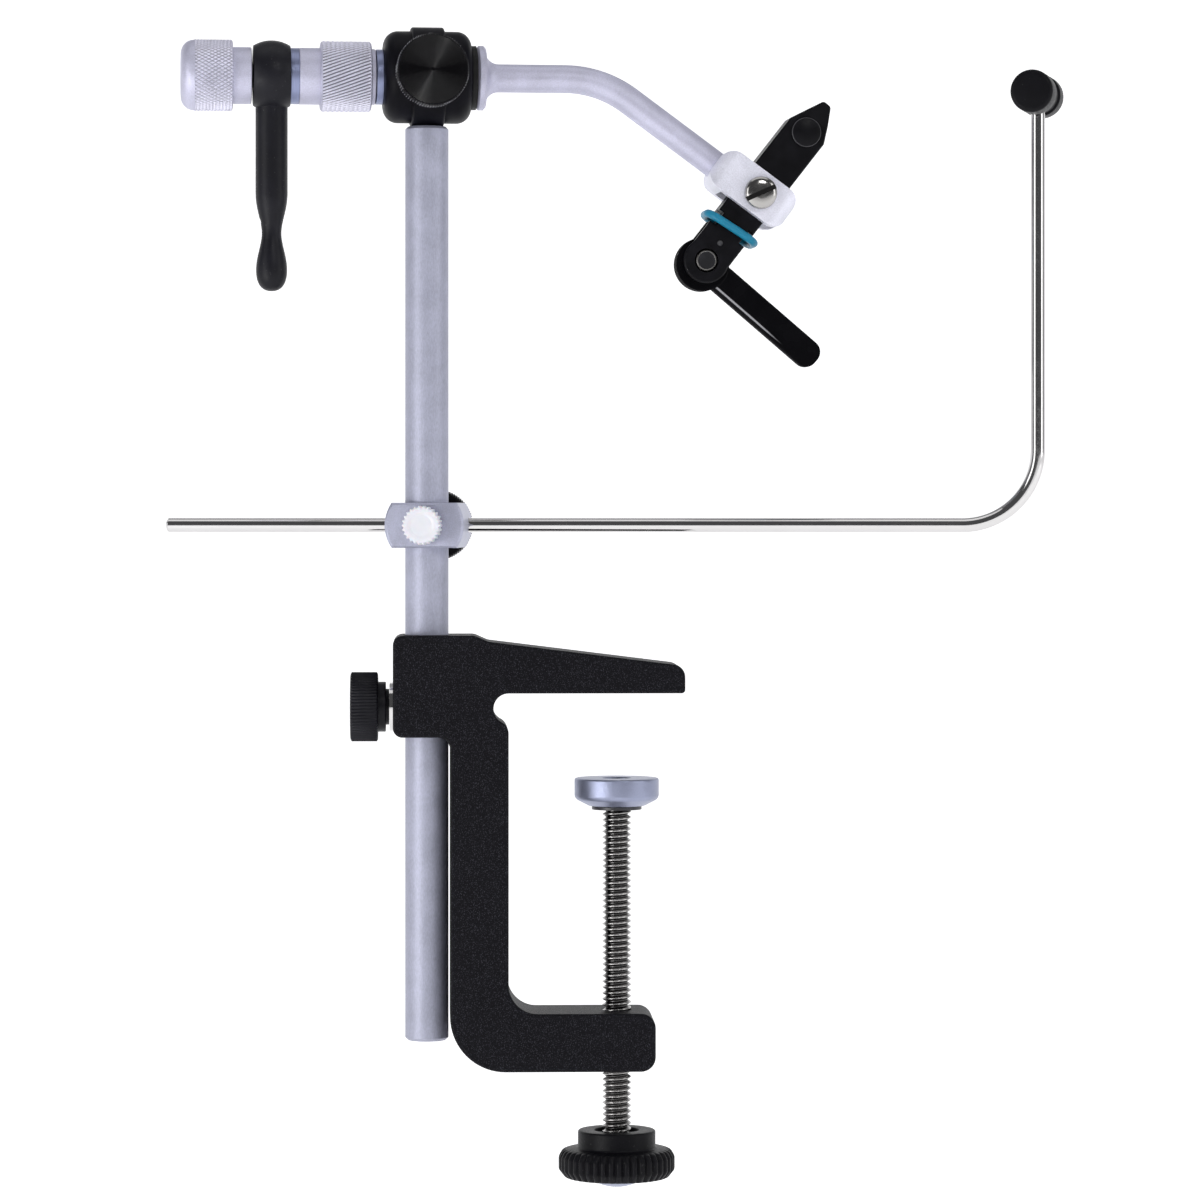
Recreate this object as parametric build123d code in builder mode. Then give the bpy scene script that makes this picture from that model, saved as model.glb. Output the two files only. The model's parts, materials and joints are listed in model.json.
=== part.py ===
"""Fly tying vise: a C-clamp, a round stem, a rotor head with lever jaws, and a bobbin cradle.

Lengths are in millimetres. The origin is on the clamp screw's axis, in the face that sits on
the table. +X points from the stem to the jaws, +Y to the back, +Z up.
"""
import os
from math import cos, radians, sin

from build123d import *

os.makedirs("parts", exist_ok=True)

# Fits
run_fit = 0.05          # radial play where one part turns in another
slide_fit = 0.08        # radial play where a rod slides
thread_fit = 0.10       # radial play of a plain bore that stands for a thread
end_play = 0.10         # axial play between parts that turn against each other
cam_play = 0.05         # play at the cam faces
rub_gap = 0.30          # gap between a clamping tip and the round it presses
overrun = 2.0           # how far a cutter runs past a face

# Clamp frame
clamp_depth = 19.05
stem_offset = 41.8      # stem axis to screw axis
boss_wall = 7.4         # stem axis to the boss's left face
boss_rise = 12.65
boss_drop = 9.6
boss_flat = 17.9        # length of the boss's flat top
step_run = 2.9
step_fall = 1.3
step_round = 2.6
arm_tip_reach = 14.65
arm_tip_height = 6.0
arm_tip_round = 2.8
arm_lip_round = 0.8
notch_radius = 3.3
notch_round = 2.9
spine_gap = 0.3         # stem's side to the spine
spine_width = 12.8
throat_height = 69.95
throat_round = 6.4
foot_height = 12.7
foot_reach = 8.2
foot_round = 3.2
heel_round = 12.2
boss_round = 2.1
boss_fillet = 2.6
frame_edge_round = 0.5

# Stem
stem_diameter = 9.525
stem_bottom = 76.45      # stem's lower end below the table face
stem_end_chamfer = 0.6
stem_stud_diameter = 5.0
stem_stud_rise = 5.2
stem_stud_sink = 9.0

# Stem lock
lock_drop = 3.2         # lock axis below the table face
lock_stud_diameter = 6.0
lock_head_diameter = 15.3
lock_head_length = 6.1
lock_collar_diameter = 11.0
lock_collar_length = 1.7
lock_neck_diameter = 7.9
lock_neck_length = 0.7
lock_washer_diameter = 10.8
lock_washer_thickness = 0.8
lock_stud_grip = 5.0    # how far the stud runs into the knob
lock_edge = 0.4

# Clamp screw, handwheel and pad
screw_diameter = 6.35
pad_drop = 18.95         # pad's top face below the table face
pad_diameter = 18.6
pad_wall_height = 4.1
pad_height = 6.1
pad_foot_diameter = 12.4
pad_well_diameter = 6.4
pad_well_depth = 2.2
pad_edge = 0.5
spigot_diameter = 4.0
spigot_rise = 1.5       # spigot's end above the well's floor
clip_diameter = 5.7
clip_thickness = 0.8
retainer_diameter = 11.0
retainer_thickness = 0.7
wheel_gap = 13.8        # clamp's foot to the hub's top
wheel_hub_diameter = 17.1
wheel_hub_height = 4.0
wheel_diameter = 25.6
wheel_height = 6.35
wheel_round = 2.0
wheel_well_diameter = 9.8
wheel_well_depth = 0.9
wheel_rib_count = 44
wheel_rib_radius = 0.55
screw_grip = 4.6        # screw's length inside the wheel below the hub's well
cap_diameter = 13.0
cap_seat_depth = 1.4
cap_bulge = 2.2

# Rotor axis and head barrel
axis_height = 135.2     # rotor axis above the table face
barrel_diameter = 20.2
barrel_length = 19.3
barrel_round = 3.2
band_width = 7.2
band_proud = 0.9
band_round = 0.45
stem_seat_cut = 0.25    # depth of the flat that the stem's top sits under
bush_diameter = 11.1
bush_length = 6.4
bush_flange_diameter = 14.1
bush_flange_thickness = 1.1
shaft_diameter = 7.94

# Brake
brake_stud_diameter = 5.0
brake_plug_diameter = 4.4
brake_plug_length = 2.4
brake_plug_gap = 0.35   # plug's face to the shaft
brake_knob_diameter = 15.8
brake_knob_length = 6.0
brake_knob_gap = 0.8    # band's front to the knob's neck
brake_neck_diameter = 9.0
brake_neck_length = 1.4
brake_knob_edge = 0.5
brake_stud_grip = 4.0

# Rotor arm
flange_diameter = 14.2
flange_thickness = 2.0
arm_diameter = 6.2
arm_taper_length = 3.0
arm_taper_round = 2.95   # hollow between the flange and the arm
flange_edge = 0.5
flange_step = 1.3       # flange's rim to the start of the hollow
bend_reach = 38.5       # stem axis to the corner of the arm
bend_radius = 24.0
leg_angle = 36.2        # lower leg below level
leg_length = 31.25      # corner to the holder's shoulder
leg_sink = 5.0          # leg's length inside the holder

# Left stack on the shaft
spacer_diameter = 12.1
spacer_length = 1.5
collar_shoulder_diameter = 12.2
collar_shoulder_length = 0.9
collar_diameter = 15.5
collar_knurl_length = 11.1
collar_edge = 0.5
collar_neck_diameter = 12.4
collar_neck_length = 4.7
collar_groove = 0.2     # gap line between the spacer and the collar's shoulder
set_screw_diameter = 3.0
washer_diameter = 12.3
washer_length = 1.9
crank_stud_diameter = 5.3
crank_stud_sink = 9.0   # stud's length inside the shaft
crank_stud_grip = 7.0   # stud's length inside the end knob
crank_ball_diameter = 15.5
crank_width = 8.1
handle_diameter = 7.05
handle_straight = 25.5  # rotor axis to where the handle starts to narrow
handle_waist_diameter = 4.3
handle_waist_drop = 34.7
handle_bulb_diameter = 6.8
handle_bulb_drop = 43.0
handle_end_drop = 47.2
knob_gap = 0.4          # crank hub to the end knob's neck
knob_neck_diameter = 12.45
knob_neck_length = 4.1
knob_diameter = 15.7
knob_knurl_length = 8.3
knob_dome_length = 3.0
knob_dome_diameter = 9.0
knob_edge = 0.4

# Jaw holder
pivot_reach = 11.6      # holder's shoulder to the pivot, along the leg
holder_length = 19.8
holder_height = 9.3
holder_depth = 14.6
holder_round = 3.2
holder_web = 4.6        # solid length behind the slot
slot_width = 9.0
pivot_diameter = 4.0
screw_head_diameter = 7.2
screw_head_height = 2.2
screw_head_round = 0.9
screw_slot_width = 1.1
screw_slot_depth = 1.1
screw_slot_angle = 24.0

# Jaws
jaw_tilt = 52.0         # jaws above level
jaw_width = 9.5
jaw_thickness = 3.9
jaw_gap = 0.7           # between the open jaws
jaw_tip_reach = 25.7    # pivot to tip
jaw_point_length = 7.9
jaw_tip_width = 2.0
jaw_tip_round = 0.9
jaw_tip_thickness = 1.5
jaw_shoulder_round = 0.5
jaw_bevel_length = 4.8
jaw_edge = 0.3
jaw_pivot_play = 0.3
gap_screw_reach = 17.4  # pivot to the gap screw
gap_screw_diameter = 6.7
gap_screw_height = 0.6
gap_screw_shank = 3.0
gap_screw_end_gap = 0.6

# Lever and cam
pin_reach = 18.7        # pivot to the cam pin
pin_diameter = 4.7
heel_radius = 5.0       # rounded rear end of the jaws about the cam pin
pocket_depth = 2.0
pocket_reach = 7.4      # cam pin to the pocket's wall
hub_diameter = 11.9
hub_offset = 0.9        # hub's centre behind the cam pin
hub_front = 1.85        # hub's front face at the pin, before the jaws' middle plane
follower_reach = 4.83   # cam pin to the follower pin
follower_diameter = 1.3
rock_angle = 1.4        # rocking of the front jaw from open to shut
cam_start = 42.5        # follower's place on the tilted face when open
lever_tilt = -40.4      # lever above level
lever_length = 33.35
lever_width = 6.3
lever_set = 0.6         # lever's middle line below the pin
lever_front = 1.5
lever_thickness = 3.6
lever_end_round = 2.7
lever_edge_round = 0.9

# Rubber ring
ring_section = 1.45
ring_reach = 9.1        # cam pin to the ring
ring_width = 13.6
ring_corner = 3.0
ring_face_gap = 0.15
ring_notch_length = 3.2   # notch in the jaws' edges that the ring lies in
ring_notch_depth = 1.35
ring_tilt = 7.5

# Cradle
cradle_height = 36.7    # rod above the table face
head_turn = 4.4         # head turned about the stem, as it stands
cradle_turn = -5.6      # bracket turned about the stem
bracket_diameter = 17.4
bracket_height = 9.9
bracket_front = 6.5     # stem axis to the front face
bracket_depth = 21.0
bracket_edge = 0.5
rod_diameter = 3.175
rod_set = 7.4           # stem axis to the rod's axis
rod_left = 58.8
rod_right = 134.15
rod_bend_radius = 16.5
rod_end_chamfer = 0.4
peg_height = 131.4      # peg's axis above the table face
thumb_diameter = 8.6
thumb_length = 5.4
thumb_gap = 1.0
thumb_neck_diameter = 5.6
thumb_stud_diameter = 4.0
thumb_scallop_count = 26
thumb_scallop_radius = 0.42
rear_knob_diameter = 15.8
rear_knob_length = 6.0
rear_neck_diameter = 9.0
rear_neck_length = 6.5
rear_knob_gap = 0.6
rear_knob_edge = 0.5
rear_stud_diameter = 4.0
rear_stud_grip = 8.0
peg_turn = -10.7        # peg turned further than the bracket
peg_diameter = 9.4
peg_length = 17.3
peg_front = 9.6         # rod's leg to the peg's front face
peg_groove_diameter = 8.4
peg_groove_length = 5.2
peg_rim_length = 6.4
peg_edge = 0.9
leg_sink_in_peg = 1.6   # rod's end above the peg's axis

# Places that follow from the sizes
stem_x = -stem_offset
stem_line = Axis((stem_x, 0, 0), (0, 0, 1))
stem_radius = stem_diameter / 2
boss_left = stem_x - boss_wall
spine_left = stem_x + stem_radius + spine_gap
spine_right = spine_left + spine_width
step_start = boss_left + boss_flat
step_end = step_start + step_run
foot_top = -throat_height
foot_bottom = foot_top - foot_height
half_depth = clamp_depth / 2
axis_point = (stem_x, 0, axis_height)
barrel_end = barrel_length / 2
band_radius = barrel_diameter / 2 + band_proud
stem_top = axis_height - band_radius + stem_seat_cut - end_play

front_view = Plane.XZ
head_side = Plane(origin=axis_point, x_dir=(1, 0, 0), z_dir=(0, -1, 0))
rotor_axis = Axis(axis_point, (1, 0, 0))
screw_axis = Axis((0, 0, 0), (0, 0, 1))


# Clamp frame: one outline, extruded to the middle plane's both sides
frame_outline = [
    (boss_left, boss_rise),
    (step_start, boss_rise),
    (step_end, boss_rise - step_fall),
    (arm_tip_reach, arm_tip_height),
    (arm_tip_reach, 0),
    (spine_right, 0),
    (spine_right, foot_top),
    (foot_reach, foot_top),
    (foot_reach, foot_bottom),
    (spine_left, foot_bottom),
    (spine_left, -boss_drop),
    (boss_left, -boss_drop),
]
frame_rounds = [
    boss_round,
    step_round,
    step_round,
    arm_tip_round,
    arm_lip_round,
    0,
    throat_round,
    foot_round,
    foot_round,
    heel_round,
    boss_fillet,
    boss_round,
]
notch_end = (spine_right, 0, -notch_radius * 2)
with BuildPart() as clamp_frame:
    with BuildSketch(front_view):
        with BuildLine():
            FilletPolyline(*frame_outline, radius=frame_rounds, close=True)
        make_face()
        with Locations((spine_right, -notch_radius)):
            Circle(notch_radius, mode=Mode.SUBTRACT)
    extrude(amount=half_depth, both=True)
    notch_edges = clamp_frame.edges().filter_by(Axis.Y).sort_by_distance(notch_end)
    fillet(notch_edges[0], notch_round)
    face_edges = clamp_frame.faces().filter_by(Axis.Y).edges()
    fillet(face_edges, frame_edge_round)
    with BuildSketch(Plane.XY.offset(-boss_drop - overrun)):
        with Locations((stem_x, 0)):
            Circle(stem_radius + slide_fit)
    extrude(amount=boss_rise + boss_drop + overrun * 2, mode=Mode.SUBTRACT)
    with BuildSketch(Plane.XY.offset(foot_bottom - overrun)):
        Circle(screw_diameter / 2 + thread_fit)
    extrude(amount=foot_height + overrun * 2, mode=Mode.SUBTRACT)
    with BuildSketch(Plane((boss_left - overrun, 0, -lock_drop), (0, 1, 0), (1, 0, 0))):
        Circle(lock_stud_diameter / 2 + thread_fit)
    extrude(amount=boss_wall + overrun, mode=Mode.SUBTRACT)
clamp_frame.part.label = "clamp_frame"
export_step(clamp_frame.part, "parts/clamp_frame.step")


# Stem
with BuildPart() as stem:
    with BuildSketch(Plane.XY.offset(-stem_bottom)):
        with Locations((stem_x, 0)):
            Circle(stem_radius)
    extrude(amount=stem_top + stem_bottom)
    chamfer(stem.edges().filter_by(GeomType.CIRCLE), stem_end_chamfer)
    with BuildSketch(Plane.XY.offset(stem_top - stem_stud_sink)):
        with Locations((stem_x, 0)):
            Circle(stem_stud_diameter / 2)
    extrude(amount=stem_stud_sink, mode=Mode.SUBTRACT)
stem.part.label = "stem"
export_step(stem.part, "parts/stem.step")

with BuildPart() as stem_stud:
    with BuildSketch(Plane.XY.offset(stem_top - stem_stud_sink)):
        with Locations((stem_x, 0)):
            Circle(stem_stud_diameter / 2)
    extrude(amount=stem_stud_sink + stem_stud_rise)
stem_stud.part.label = "stem_stud"
export_step(stem_stud.part, "parts/stem_stud.step")


# Stem lock: washer, knob and stud on one axis along X
lock_washer_end = boss_left - lock_washer_thickness
lock_neck_end = lock_washer_end - end_play - lock_neck_length
lock_collar_end = lock_neck_end - lock_collar_length
lock_head_end = lock_collar_end - lock_head_length
lock_stud_tip = stem_x - stem_radius - rub_gap
lock_stud_end = lock_collar_end - lock_stud_grip

with BuildPart() as stem_lock_washer:
    with BuildSketch(Plane((lock_washer_end, 0, -lock_drop), (0, 1, 0), (1, 0, 0))):
        Circle(lock_washer_diameter / 2)
        Circle(lock_stud_diameter / 2 + thread_fit, mode=Mode.SUBTRACT)
    extrude(amount=lock_washer_thickness)
stem_lock_washer.part.label = "stem_lock_washer"
export_step(stem_lock_washer.part, "parts/stem_lock_washer.step")

with BuildPart() as stem_lock_knob:
    with BuildSketch(Plane((lock_collar_end, 0, -lock_drop), (0, 1, 0), (-1, 0, 0))):
        Circle(lock_head_diameter / 2)
    extrude(amount=lock_head_length)
    chamfer(stem_lock_knob.edges().filter_by(GeomType.CIRCLE), lock_edge)
    with BuildSketch(Plane((lock_collar_end, 0, -lock_drop), (0, 1, 0), (1, 0, 0))):
        Circle(lock_collar_diameter / 2)
    extrude(amount=lock_collar_length)
    with BuildSketch(Plane((lock_neck_end, 0, -lock_drop), (0, 1, 0), (1, 0, 0))):
        Circle(lock_neck_diameter / 2)
    extrude(amount=lock_neck_length)
    with BuildSketch(Plane((lock_stud_end, 0, -lock_drop), (0, 1, 0), (1, 0, 0))):
        Circle(lock_stud_diameter / 2)
    extrude(amount=lock_neck_end + lock_neck_length - lock_stud_end, mode=Mode.SUBTRACT)
stem_lock_knob.part.label = "stem_lock_knob"
export_step(stem_lock_knob.part, "parts/stem_lock_knob.step")

with BuildPart() as stem_lock_stud:
    with BuildSketch(Plane((lock_stud_end, 0, -lock_drop), (0, 1, 0), (1, 0, 0))):
        Circle(lock_stud_diameter / 2)
    extrude(amount=lock_stud_tip - lock_stud_end)
stem_lock_stud.part.label = "stem_lock_stud"
export_step(stem_lock_stud.part, "parts/stem_lock_stud.step")


# Clamp pad, its clip and retainer, the screw and the handwheel
pad_top = -pad_drop
pad_bottom = pad_top - pad_height
well_floor = pad_top - pad_well_depth
spigot_top = well_floor + spigot_rise
clip_bottom = well_floor + end_play
retainer_top = pad_bottom - end_play
retainer_bottom = retainer_top - retainer_thickness
hub_top = foot_bottom - wheel_gap
wheel_top = hub_top - wheel_hub_height
wheel_bottom = wheel_top - wheel_height
screw_bottom = hub_top - wheel_well_depth - screw_grip
cap_seat = wheel_bottom + cap_seat_depth
cap_bottom = wheel_bottom - cap_bulge
cap_radius = cap_diameter / 2
cap_sphere = (cap_radius ** 2 + cap_bulge ** 2) / (cap_bulge * 2)

pad_outline = [
    (0, pad_bottom),
    (pad_foot_diameter / 2, pad_bottom),
    (pad_diameter / 2, pad_top - pad_wall_height),
    (pad_diameter / 2, pad_top - pad_edge),
    (pad_diameter / 2 - pad_edge, pad_top),
    (0, pad_top),
]
with BuildPart() as clamp_pad:
    with BuildSketch(front_view):
        with BuildLine():
            Polyline(*pad_outline, close=True)
        make_face()
    revolve(axis=screw_axis)
    with BuildSketch(Plane.XY.offset(well_floor)):
        Circle(pad_well_diameter / 2)
    extrude(amount=pad_well_depth, mode=Mode.SUBTRACT)
    with BuildSketch(Plane.XY.offset(pad_bottom)):
        Circle(spigot_diameter / 2 + run_fit)
    extrude(amount=pad_height, mode=Mode.SUBTRACT)
clamp_pad.part.label = "clamp_pad"
export_step(clamp_pad.part, "parts/clamp_pad.step")

with BuildPart() as clamp_pad_clip:
    with BuildSketch(Plane.XY.offset(clip_bottom)):
        Circle(clip_diameter / 2)
        Circle(spigot_diameter / 2, mode=Mode.SUBTRACT)
    extrude(amount=clip_thickness)
clamp_pad_clip.part.label = "clamp_pad_clip"
export_step(clamp_pad_clip.part, "parts/clamp_pad_clip.step")

with BuildPart() as clamp_pad_retainer:
    with BuildSketch(Plane.XY.offset(retainer_bottom)):
        Circle(retainer_diameter / 2)
        Circle(spigot_diameter / 2, mode=Mode.SUBTRACT)
    extrude(amount=retainer_thickness)
clamp_pad_retainer.part.label = "clamp_pad_retainer"
export_step(clamp_pad_retainer.part, "parts/clamp_pad_retainer.step")

with BuildPart() as clamp_screw:
    with BuildSketch(Plane.XY.offset(screw_bottom)):
        Circle(screw_diameter / 2)
    extrude(amount=retainer_bottom - screw_bottom)
    with BuildSketch(Plane.XY.offset(retainer_bottom)):
        Circle(spigot_diameter / 2)
    extrude(amount=spigot_top - retainer_bottom)
clamp_screw.part.label = "clamp_screw"
export_step(clamp_screw.part, "parts/clamp_screw.step")

with BuildPart() as clamp_handwheel:
    with BuildSketch(Plane.XY.offset(wheel_bottom)):
        Circle(wheel_diameter / 2)
    extrude(amount=wheel_height)
    fillet(clamp_handwheel.edges().filter_by(GeomType.CIRCLE), wheel_round)
    with BuildSketch(Plane.XY.offset(wheel_bottom)):
        with PolarLocations(wheel_diameter / 2 + wheel_rib_radius / 2, wheel_rib_count):
            Circle(wheel_rib_radius)
    extrude(amount=wheel_height, mode=Mode.SUBTRACT)
    with BuildSketch(Plane.XY.offset(wheel_top)):
        Circle(wheel_hub_diameter / 2)
    extrude(amount=wheel_hub_height)
    with BuildSketch(Plane.XY.offset(hub_top - wheel_well_depth)):
        Circle(wheel_well_diameter / 2)
    extrude(amount=wheel_well_depth, mode=Mode.SUBTRACT)
    with BuildSketch(Plane.XY.offset(screw_bottom)):
        Circle(screw_diameter / 2)
    extrude(amount=screw_grip, mode=Mode.SUBTRACT)
    with BuildSketch(Plane.XY.offset(wheel_bottom)):
        Circle(cap_diameter / 2)
    extrude(amount=cap_seat_depth, mode=Mode.SUBTRACT)
clamp_handwheel.part.label = "clamp_handwheel"
export_step(clamp_handwheel.part, "parts/clamp_handwheel.step")

with BuildPart() as handwheel_cap:
    with BuildSketch(front_view):
        with BuildLine():
            Polyline((0, cap_bottom), (0, cap_seat), (cap_radius, cap_seat),
                     (cap_radius, wheel_bottom))
            RadiusArc((cap_radius, wheel_bottom), (0, cap_bottom), cap_sphere)
        make_face()
    revolve(axis=screw_axis)
handwheel_cap.part.label = "handwheel_cap"
export_step(handwheel_cap.part, "parts/handwheel_cap.step")


# Head barrel with its band, stem socket, brake hole and bush bore
barrel_radius = barrel_diameter / 2
stem_socket_top = stem_top + stem_stud_rise + end_play
brake_hole_start = bush_diameter / 2 - overrun
with BuildPart() as head_barrel:
    with BuildSketch(Plane(axis_point, (0, 1, 0), (1, 0, 0))):
        Circle(barrel_radius)
    extrude(amount=barrel_end, both=True)
    fillet(head_barrel.edges().filter_by(GeomType.CIRCLE), barrel_round)
    with BuildSketch(head_side):
        with Locations((0, band_radius / 2)):
            RectangleRounded(band_width, band_radius, band_round)
    revolve(axis=rotor_axis)
    with BuildSketch(Plane(axis_point, (0, 1, 0), (1, 0, 0))):
        Circle(bush_diameter / 2)
    extrude(amount=barrel_length, both=True, mode=Mode.SUBTRACT)
    with BuildSketch(Plane.XY.offset(stem_top + end_play - barrel_radius)):
        with Locations((stem_x, 0)):
            Rectangle(barrel_length, barrel_diameter)
    extrude(amount=barrel_radius, mode=Mode.SUBTRACT)
    with BuildSketch(Plane.XY.offset(stem_top)):
        with Locations((stem_x, 0)):
            Circle(stem_stud_diameter / 2 + run_fit)
    extrude(amount=axis_height - stem_top, mode=Mode.SUBTRACT)
    with BuildSketch(Plane((stem_x, -brake_hole_start, axis_height), (1, 0, 0), (0, -1, 0))):
        Circle(brake_stud_diameter / 2 + thread_fit)
    extrude(amount=band_radius, mode=Mode.SUBTRACT)
head_barrel.part.label = "head_barrel"
export_step(head_barrel.part.rotate(stem_line, head_turn), "parts/head_barrel.step")

bush_right_start = barrel_end - bush_length
flange_start = barrel_end + bush_flange_thickness + end_play
with BuildPart() as rotor_bush_left:
    with BuildSketch(Plane((stem_x - barrel_end, 0, axis_height), (0, 1, 0), (1, 0, 0))):
        Circle(bush_diameter / 2)
        Circle(shaft_diameter / 2 + run_fit, mode=Mode.SUBTRACT)
    extrude(amount=bush_length)
rotor_bush_left.part.label = "rotor_bush_left"
export_step(rotor_bush_left.part.rotate(stem_line, head_turn), "parts/rotor_bush_left.step")

with BuildPart() as rotor_bush_right:
    with BuildSketch(Plane((stem_x + bush_right_start, 0, axis_height), (0, 1, 0), (1, 0, 0))):
        Circle(bush_diameter / 2)
    extrude(amount=bush_length)
    with BuildSketch(Plane((stem_x + barrel_end, 0, axis_height), (0, 1, 0), (1, 0, 0))):
        Circle(bush_flange_diameter / 2)
    extrude(amount=bush_flange_thickness)
    with BuildSketch(Plane((stem_x + bush_right_start, 0, axis_height), (0, 1, 0), (1, 0, 0))):
        Circle(shaft_diameter / 2 + run_fit)
    extrude(amount=bush_length + bush_flange_thickness, mode=Mode.SUBTRACT)
rotor_bush_right.part.label = "rotor_bush_right"
export_step(rotor_bush_right.part.rotate(stem_line, head_turn), "parts/rotor_bush_right.step")


# Brake: plug, stud and knob on an axis toward the front
plug_face = shaft_diameter / 2 + brake_plug_gap
plug_back = plug_face + brake_plug_length
neck_start = band_radius + brake_knob_gap
knob_start = neck_start + brake_neck_length
knob_face = knob_start + brake_knob_length
stud_end = knob_start + brake_stud_grip
stud_start = plug_back + end_play
with BuildPart() as brake_plug:
    with BuildSketch(Plane((stem_x, -plug_face, axis_height), (1, 0, 0), (0, -1, 0))):
        Circle(brake_plug_diameter / 2)
    extrude(amount=brake_plug_length)
brake_plug.part.label = "brake_plug"
export_step(brake_plug.part.rotate(stem_line, head_turn), "parts/brake_plug.step")

with BuildPart() as brake_stud:
    with BuildSketch(Plane((stem_x, -stud_start, axis_height), (1, 0, 0), (0, -1, 0))):
        Circle(brake_stud_diameter / 2)
    extrude(amount=stud_end - stud_start)
brake_stud.part.label = "brake_stud"
export_step(brake_stud.part.rotate(stem_line, head_turn), "parts/brake_stud.step")

with BuildPart() as brake_knob:
    with BuildSketch(Plane((stem_x, -knob_start, axis_height), (1, 0, 0), (0, -1, 0))):
        Circle(brake_knob_diameter / 2)
    extrude(amount=brake_knob_length)
    chamfer(brake_knob.edges().filter_by(GeomType.CIRCLE), brake_knob_edge)
    with BuildSketch(Plane((stem_x, -neck_start, axis_height), (1, 0, 0), (0, -1, 0))):
        Circle(brake_neck_diameter / 2)
    extrude(amount=brake_neck_length)
    with BuildSketch(Plane((stem_x, -neck_start, axis_height), (1, 0, 0), (0, -1, 0))):
        Circle(brake_stud_diameter / 2)
    extrude(amount=stud_end - neck_start, mode=Mode.SUBTRACT)
brake_knob.part.label = "brake_knob"
export_step(brake_knob.part.rotate(stem_line, head_turn), "parts/brake_knob.step")


# Rotor arm: shaft, flange and taper turned on the axis, then the bent arm swept
collar_right = barrel_end + end_play + spacer_length + collar_groove
collar_left = (collar_right + collar_shoulder_length + collar_knurl_length
               + collar_neck_length)
shaft_left = collar_left
washer_left = collar_left + washer_length
crank_left = washer_left + crank_width
crank_middle = washer_left + crank_width / 2
flange_end = flange_start + flange_thickness
taper_end = flange_end + arm_taper_length
arm_radius = arm_diameter / 2
taper_radius = flange_diameter / 2 - flange_step
flange_radius = flange_diameter / 2
shaft_radius = shaft_diameter / 2
stud_radius = crank_stud_diameter / 2
leg_cos = cos(radians(leg_angle))
leg_sin = sin(radians(leg_angle))
leg_end = leg_length + leg_sink
leg_point = (bend_reach + leg_cos * leg_end, -leg_sin * leg_end)
with BuildPart() as rotor_arm:
    with BuildSketch(head_side):
        with BuildLine():
            Polyline((taper_end, arm_radius), (taper_end, 0), (-shaft_left, 0),
                     (-shaft_left, shaft_radius), (flange_start, shaft_radius),
                     (flange_start, flange_radius - flange_edge),
                     (flange_start + flange_edge, flange_radius),
                     (flange_end - flange_edge, flange_radius),
                     (flange_end, flange_radius - flange_edge), (flange_end, taper_radius))
            RadiusArc((flange_end, taper_radius), (taper_end, arm_radius), -arm_taper_round)
        make_face()
    revolve(axis=rotor_axis)
    with BuildLine(head_side) as arm_path:
        FilletPolyline((taper_end, 0), (bend_reach, 0), leg_point, radius=bend_radius)
    with BuildSketch(Plane((stem_x + taper_end, 0, axis_height), (0, 1, 0), (1, 0, 0))):
        Circle(arm_radius)
    sweep(path=arm_path.line)
    with BuildSketch(Plane((stem_x - shaft_left, 0, axis_height), (0, 1, 0), (1, 0, 0))):
        Circle(stud_radius)
    extrude(amount=crank_stud_sink, mode=Mode.SUBTRACT)
rotor_arm.part.label = "rotor_arm"
export_step(rotor_arm.part.rotate(stem_line, head_turn), "parts/rotor_arm.step")

with BuildPart() as rotor_spacer:
    with BuildSketch(Plane((stem_x - barrel_end - end_play, 0, axis_height), (0, 1, 0),
                           (-1, 0, 0))):
        Circle(spacer_diameter / 2)
        Circle(shaft_radius, mode=Mode.SUBTRACT)
    extrude(amount=spacer_length)
rotor_spacer.part.label = "rotor_spacer"
export_step(rotor_spacer.part.rotate(stem_line, head_turn), "parts/rotor_spacer.step")

shoulder_radius = collar_shoulder_diameter / 2
collar_radius = collar_diameter / 2
collar_neck_radius = collar_neck_diameter / 2
collar_knurl_right = collar_right + collar_shoulder_length
collar_knurl_left = collar_knurl_right + collar_knurl_length
set_screw_at = collar_left - collar_neck_length / 2
collar_outline = [
    (-collar_right, shaft_radius),
    (-collar_right, shoulder_radius),
    (-collar_knurl_right, shoulder_radius),
    (-collar_knurl_right, collar_radius - collar_edge),
    (-collar_knurl_right - collar_edge, collar_radius),
    (-collar_knurl_left + collar_edge, collar_radius),
    (-collar_knurl_left, collar_radius - collar_edge),
    (-collar_knurl_left, collar_neck_radius),
    (-collar_left, collar_neck_radius),
    (-collar_left, shaft_radius),
]
with BuildPart() as drag_collar:
    with BuildSketch(head_side):
        with BuildLine():
            Polyline(*collar_outline, close=True)
        make_face()
    revolve(axis=rotor_axis)
    with BuildSketch(Plane((stem_x - set_screw_at, 0, axis_height), (1, 0, 0), (0, 1, 0))):
        Circle(set_screw_diameter / 2)
    extrude(amount=collar_radius, mode=Mode.SUBTRACT)
drag_collar.part.label = "drag_collar"
export_step(drag_collar.part.rotate(stem_line, head_turn), "parts/drag_collar.step")

with BuildPart() as collar_set_screw:
    with BuildSketch(Plane((stem_x - set_screw_at, shaft_radius, axis_height), (1, 0, 0),
                           (0, 1, 0))):
        Circle(set_screw_diameter / 2)
    extrude(amount=collar_neck_radius - shaft_radius - rub_gap)
collar_set_screw.part.label = "collar_set_screw"
export_step(collar_set_screw.part.rotate(stem_line, head_turn), "parts/collar_set_screw.step")

with BuildPart() as crank_washer:
    with BuildSketch(Plane((stem_x - collar_left, 0, axis_height), (0, 1, 0), (-1, 0, 0))):
        Circle(washer_diameter / 2)
        Circle(stud_radius, mode=Mode.SUBTRACT)
    extrude(amount=washer_length)
crank_washer.part.label = "crank_washer"
export_step(crank_washer.part.rotate(stem_line, head_turn), "parts/crank_washer.step")

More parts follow.
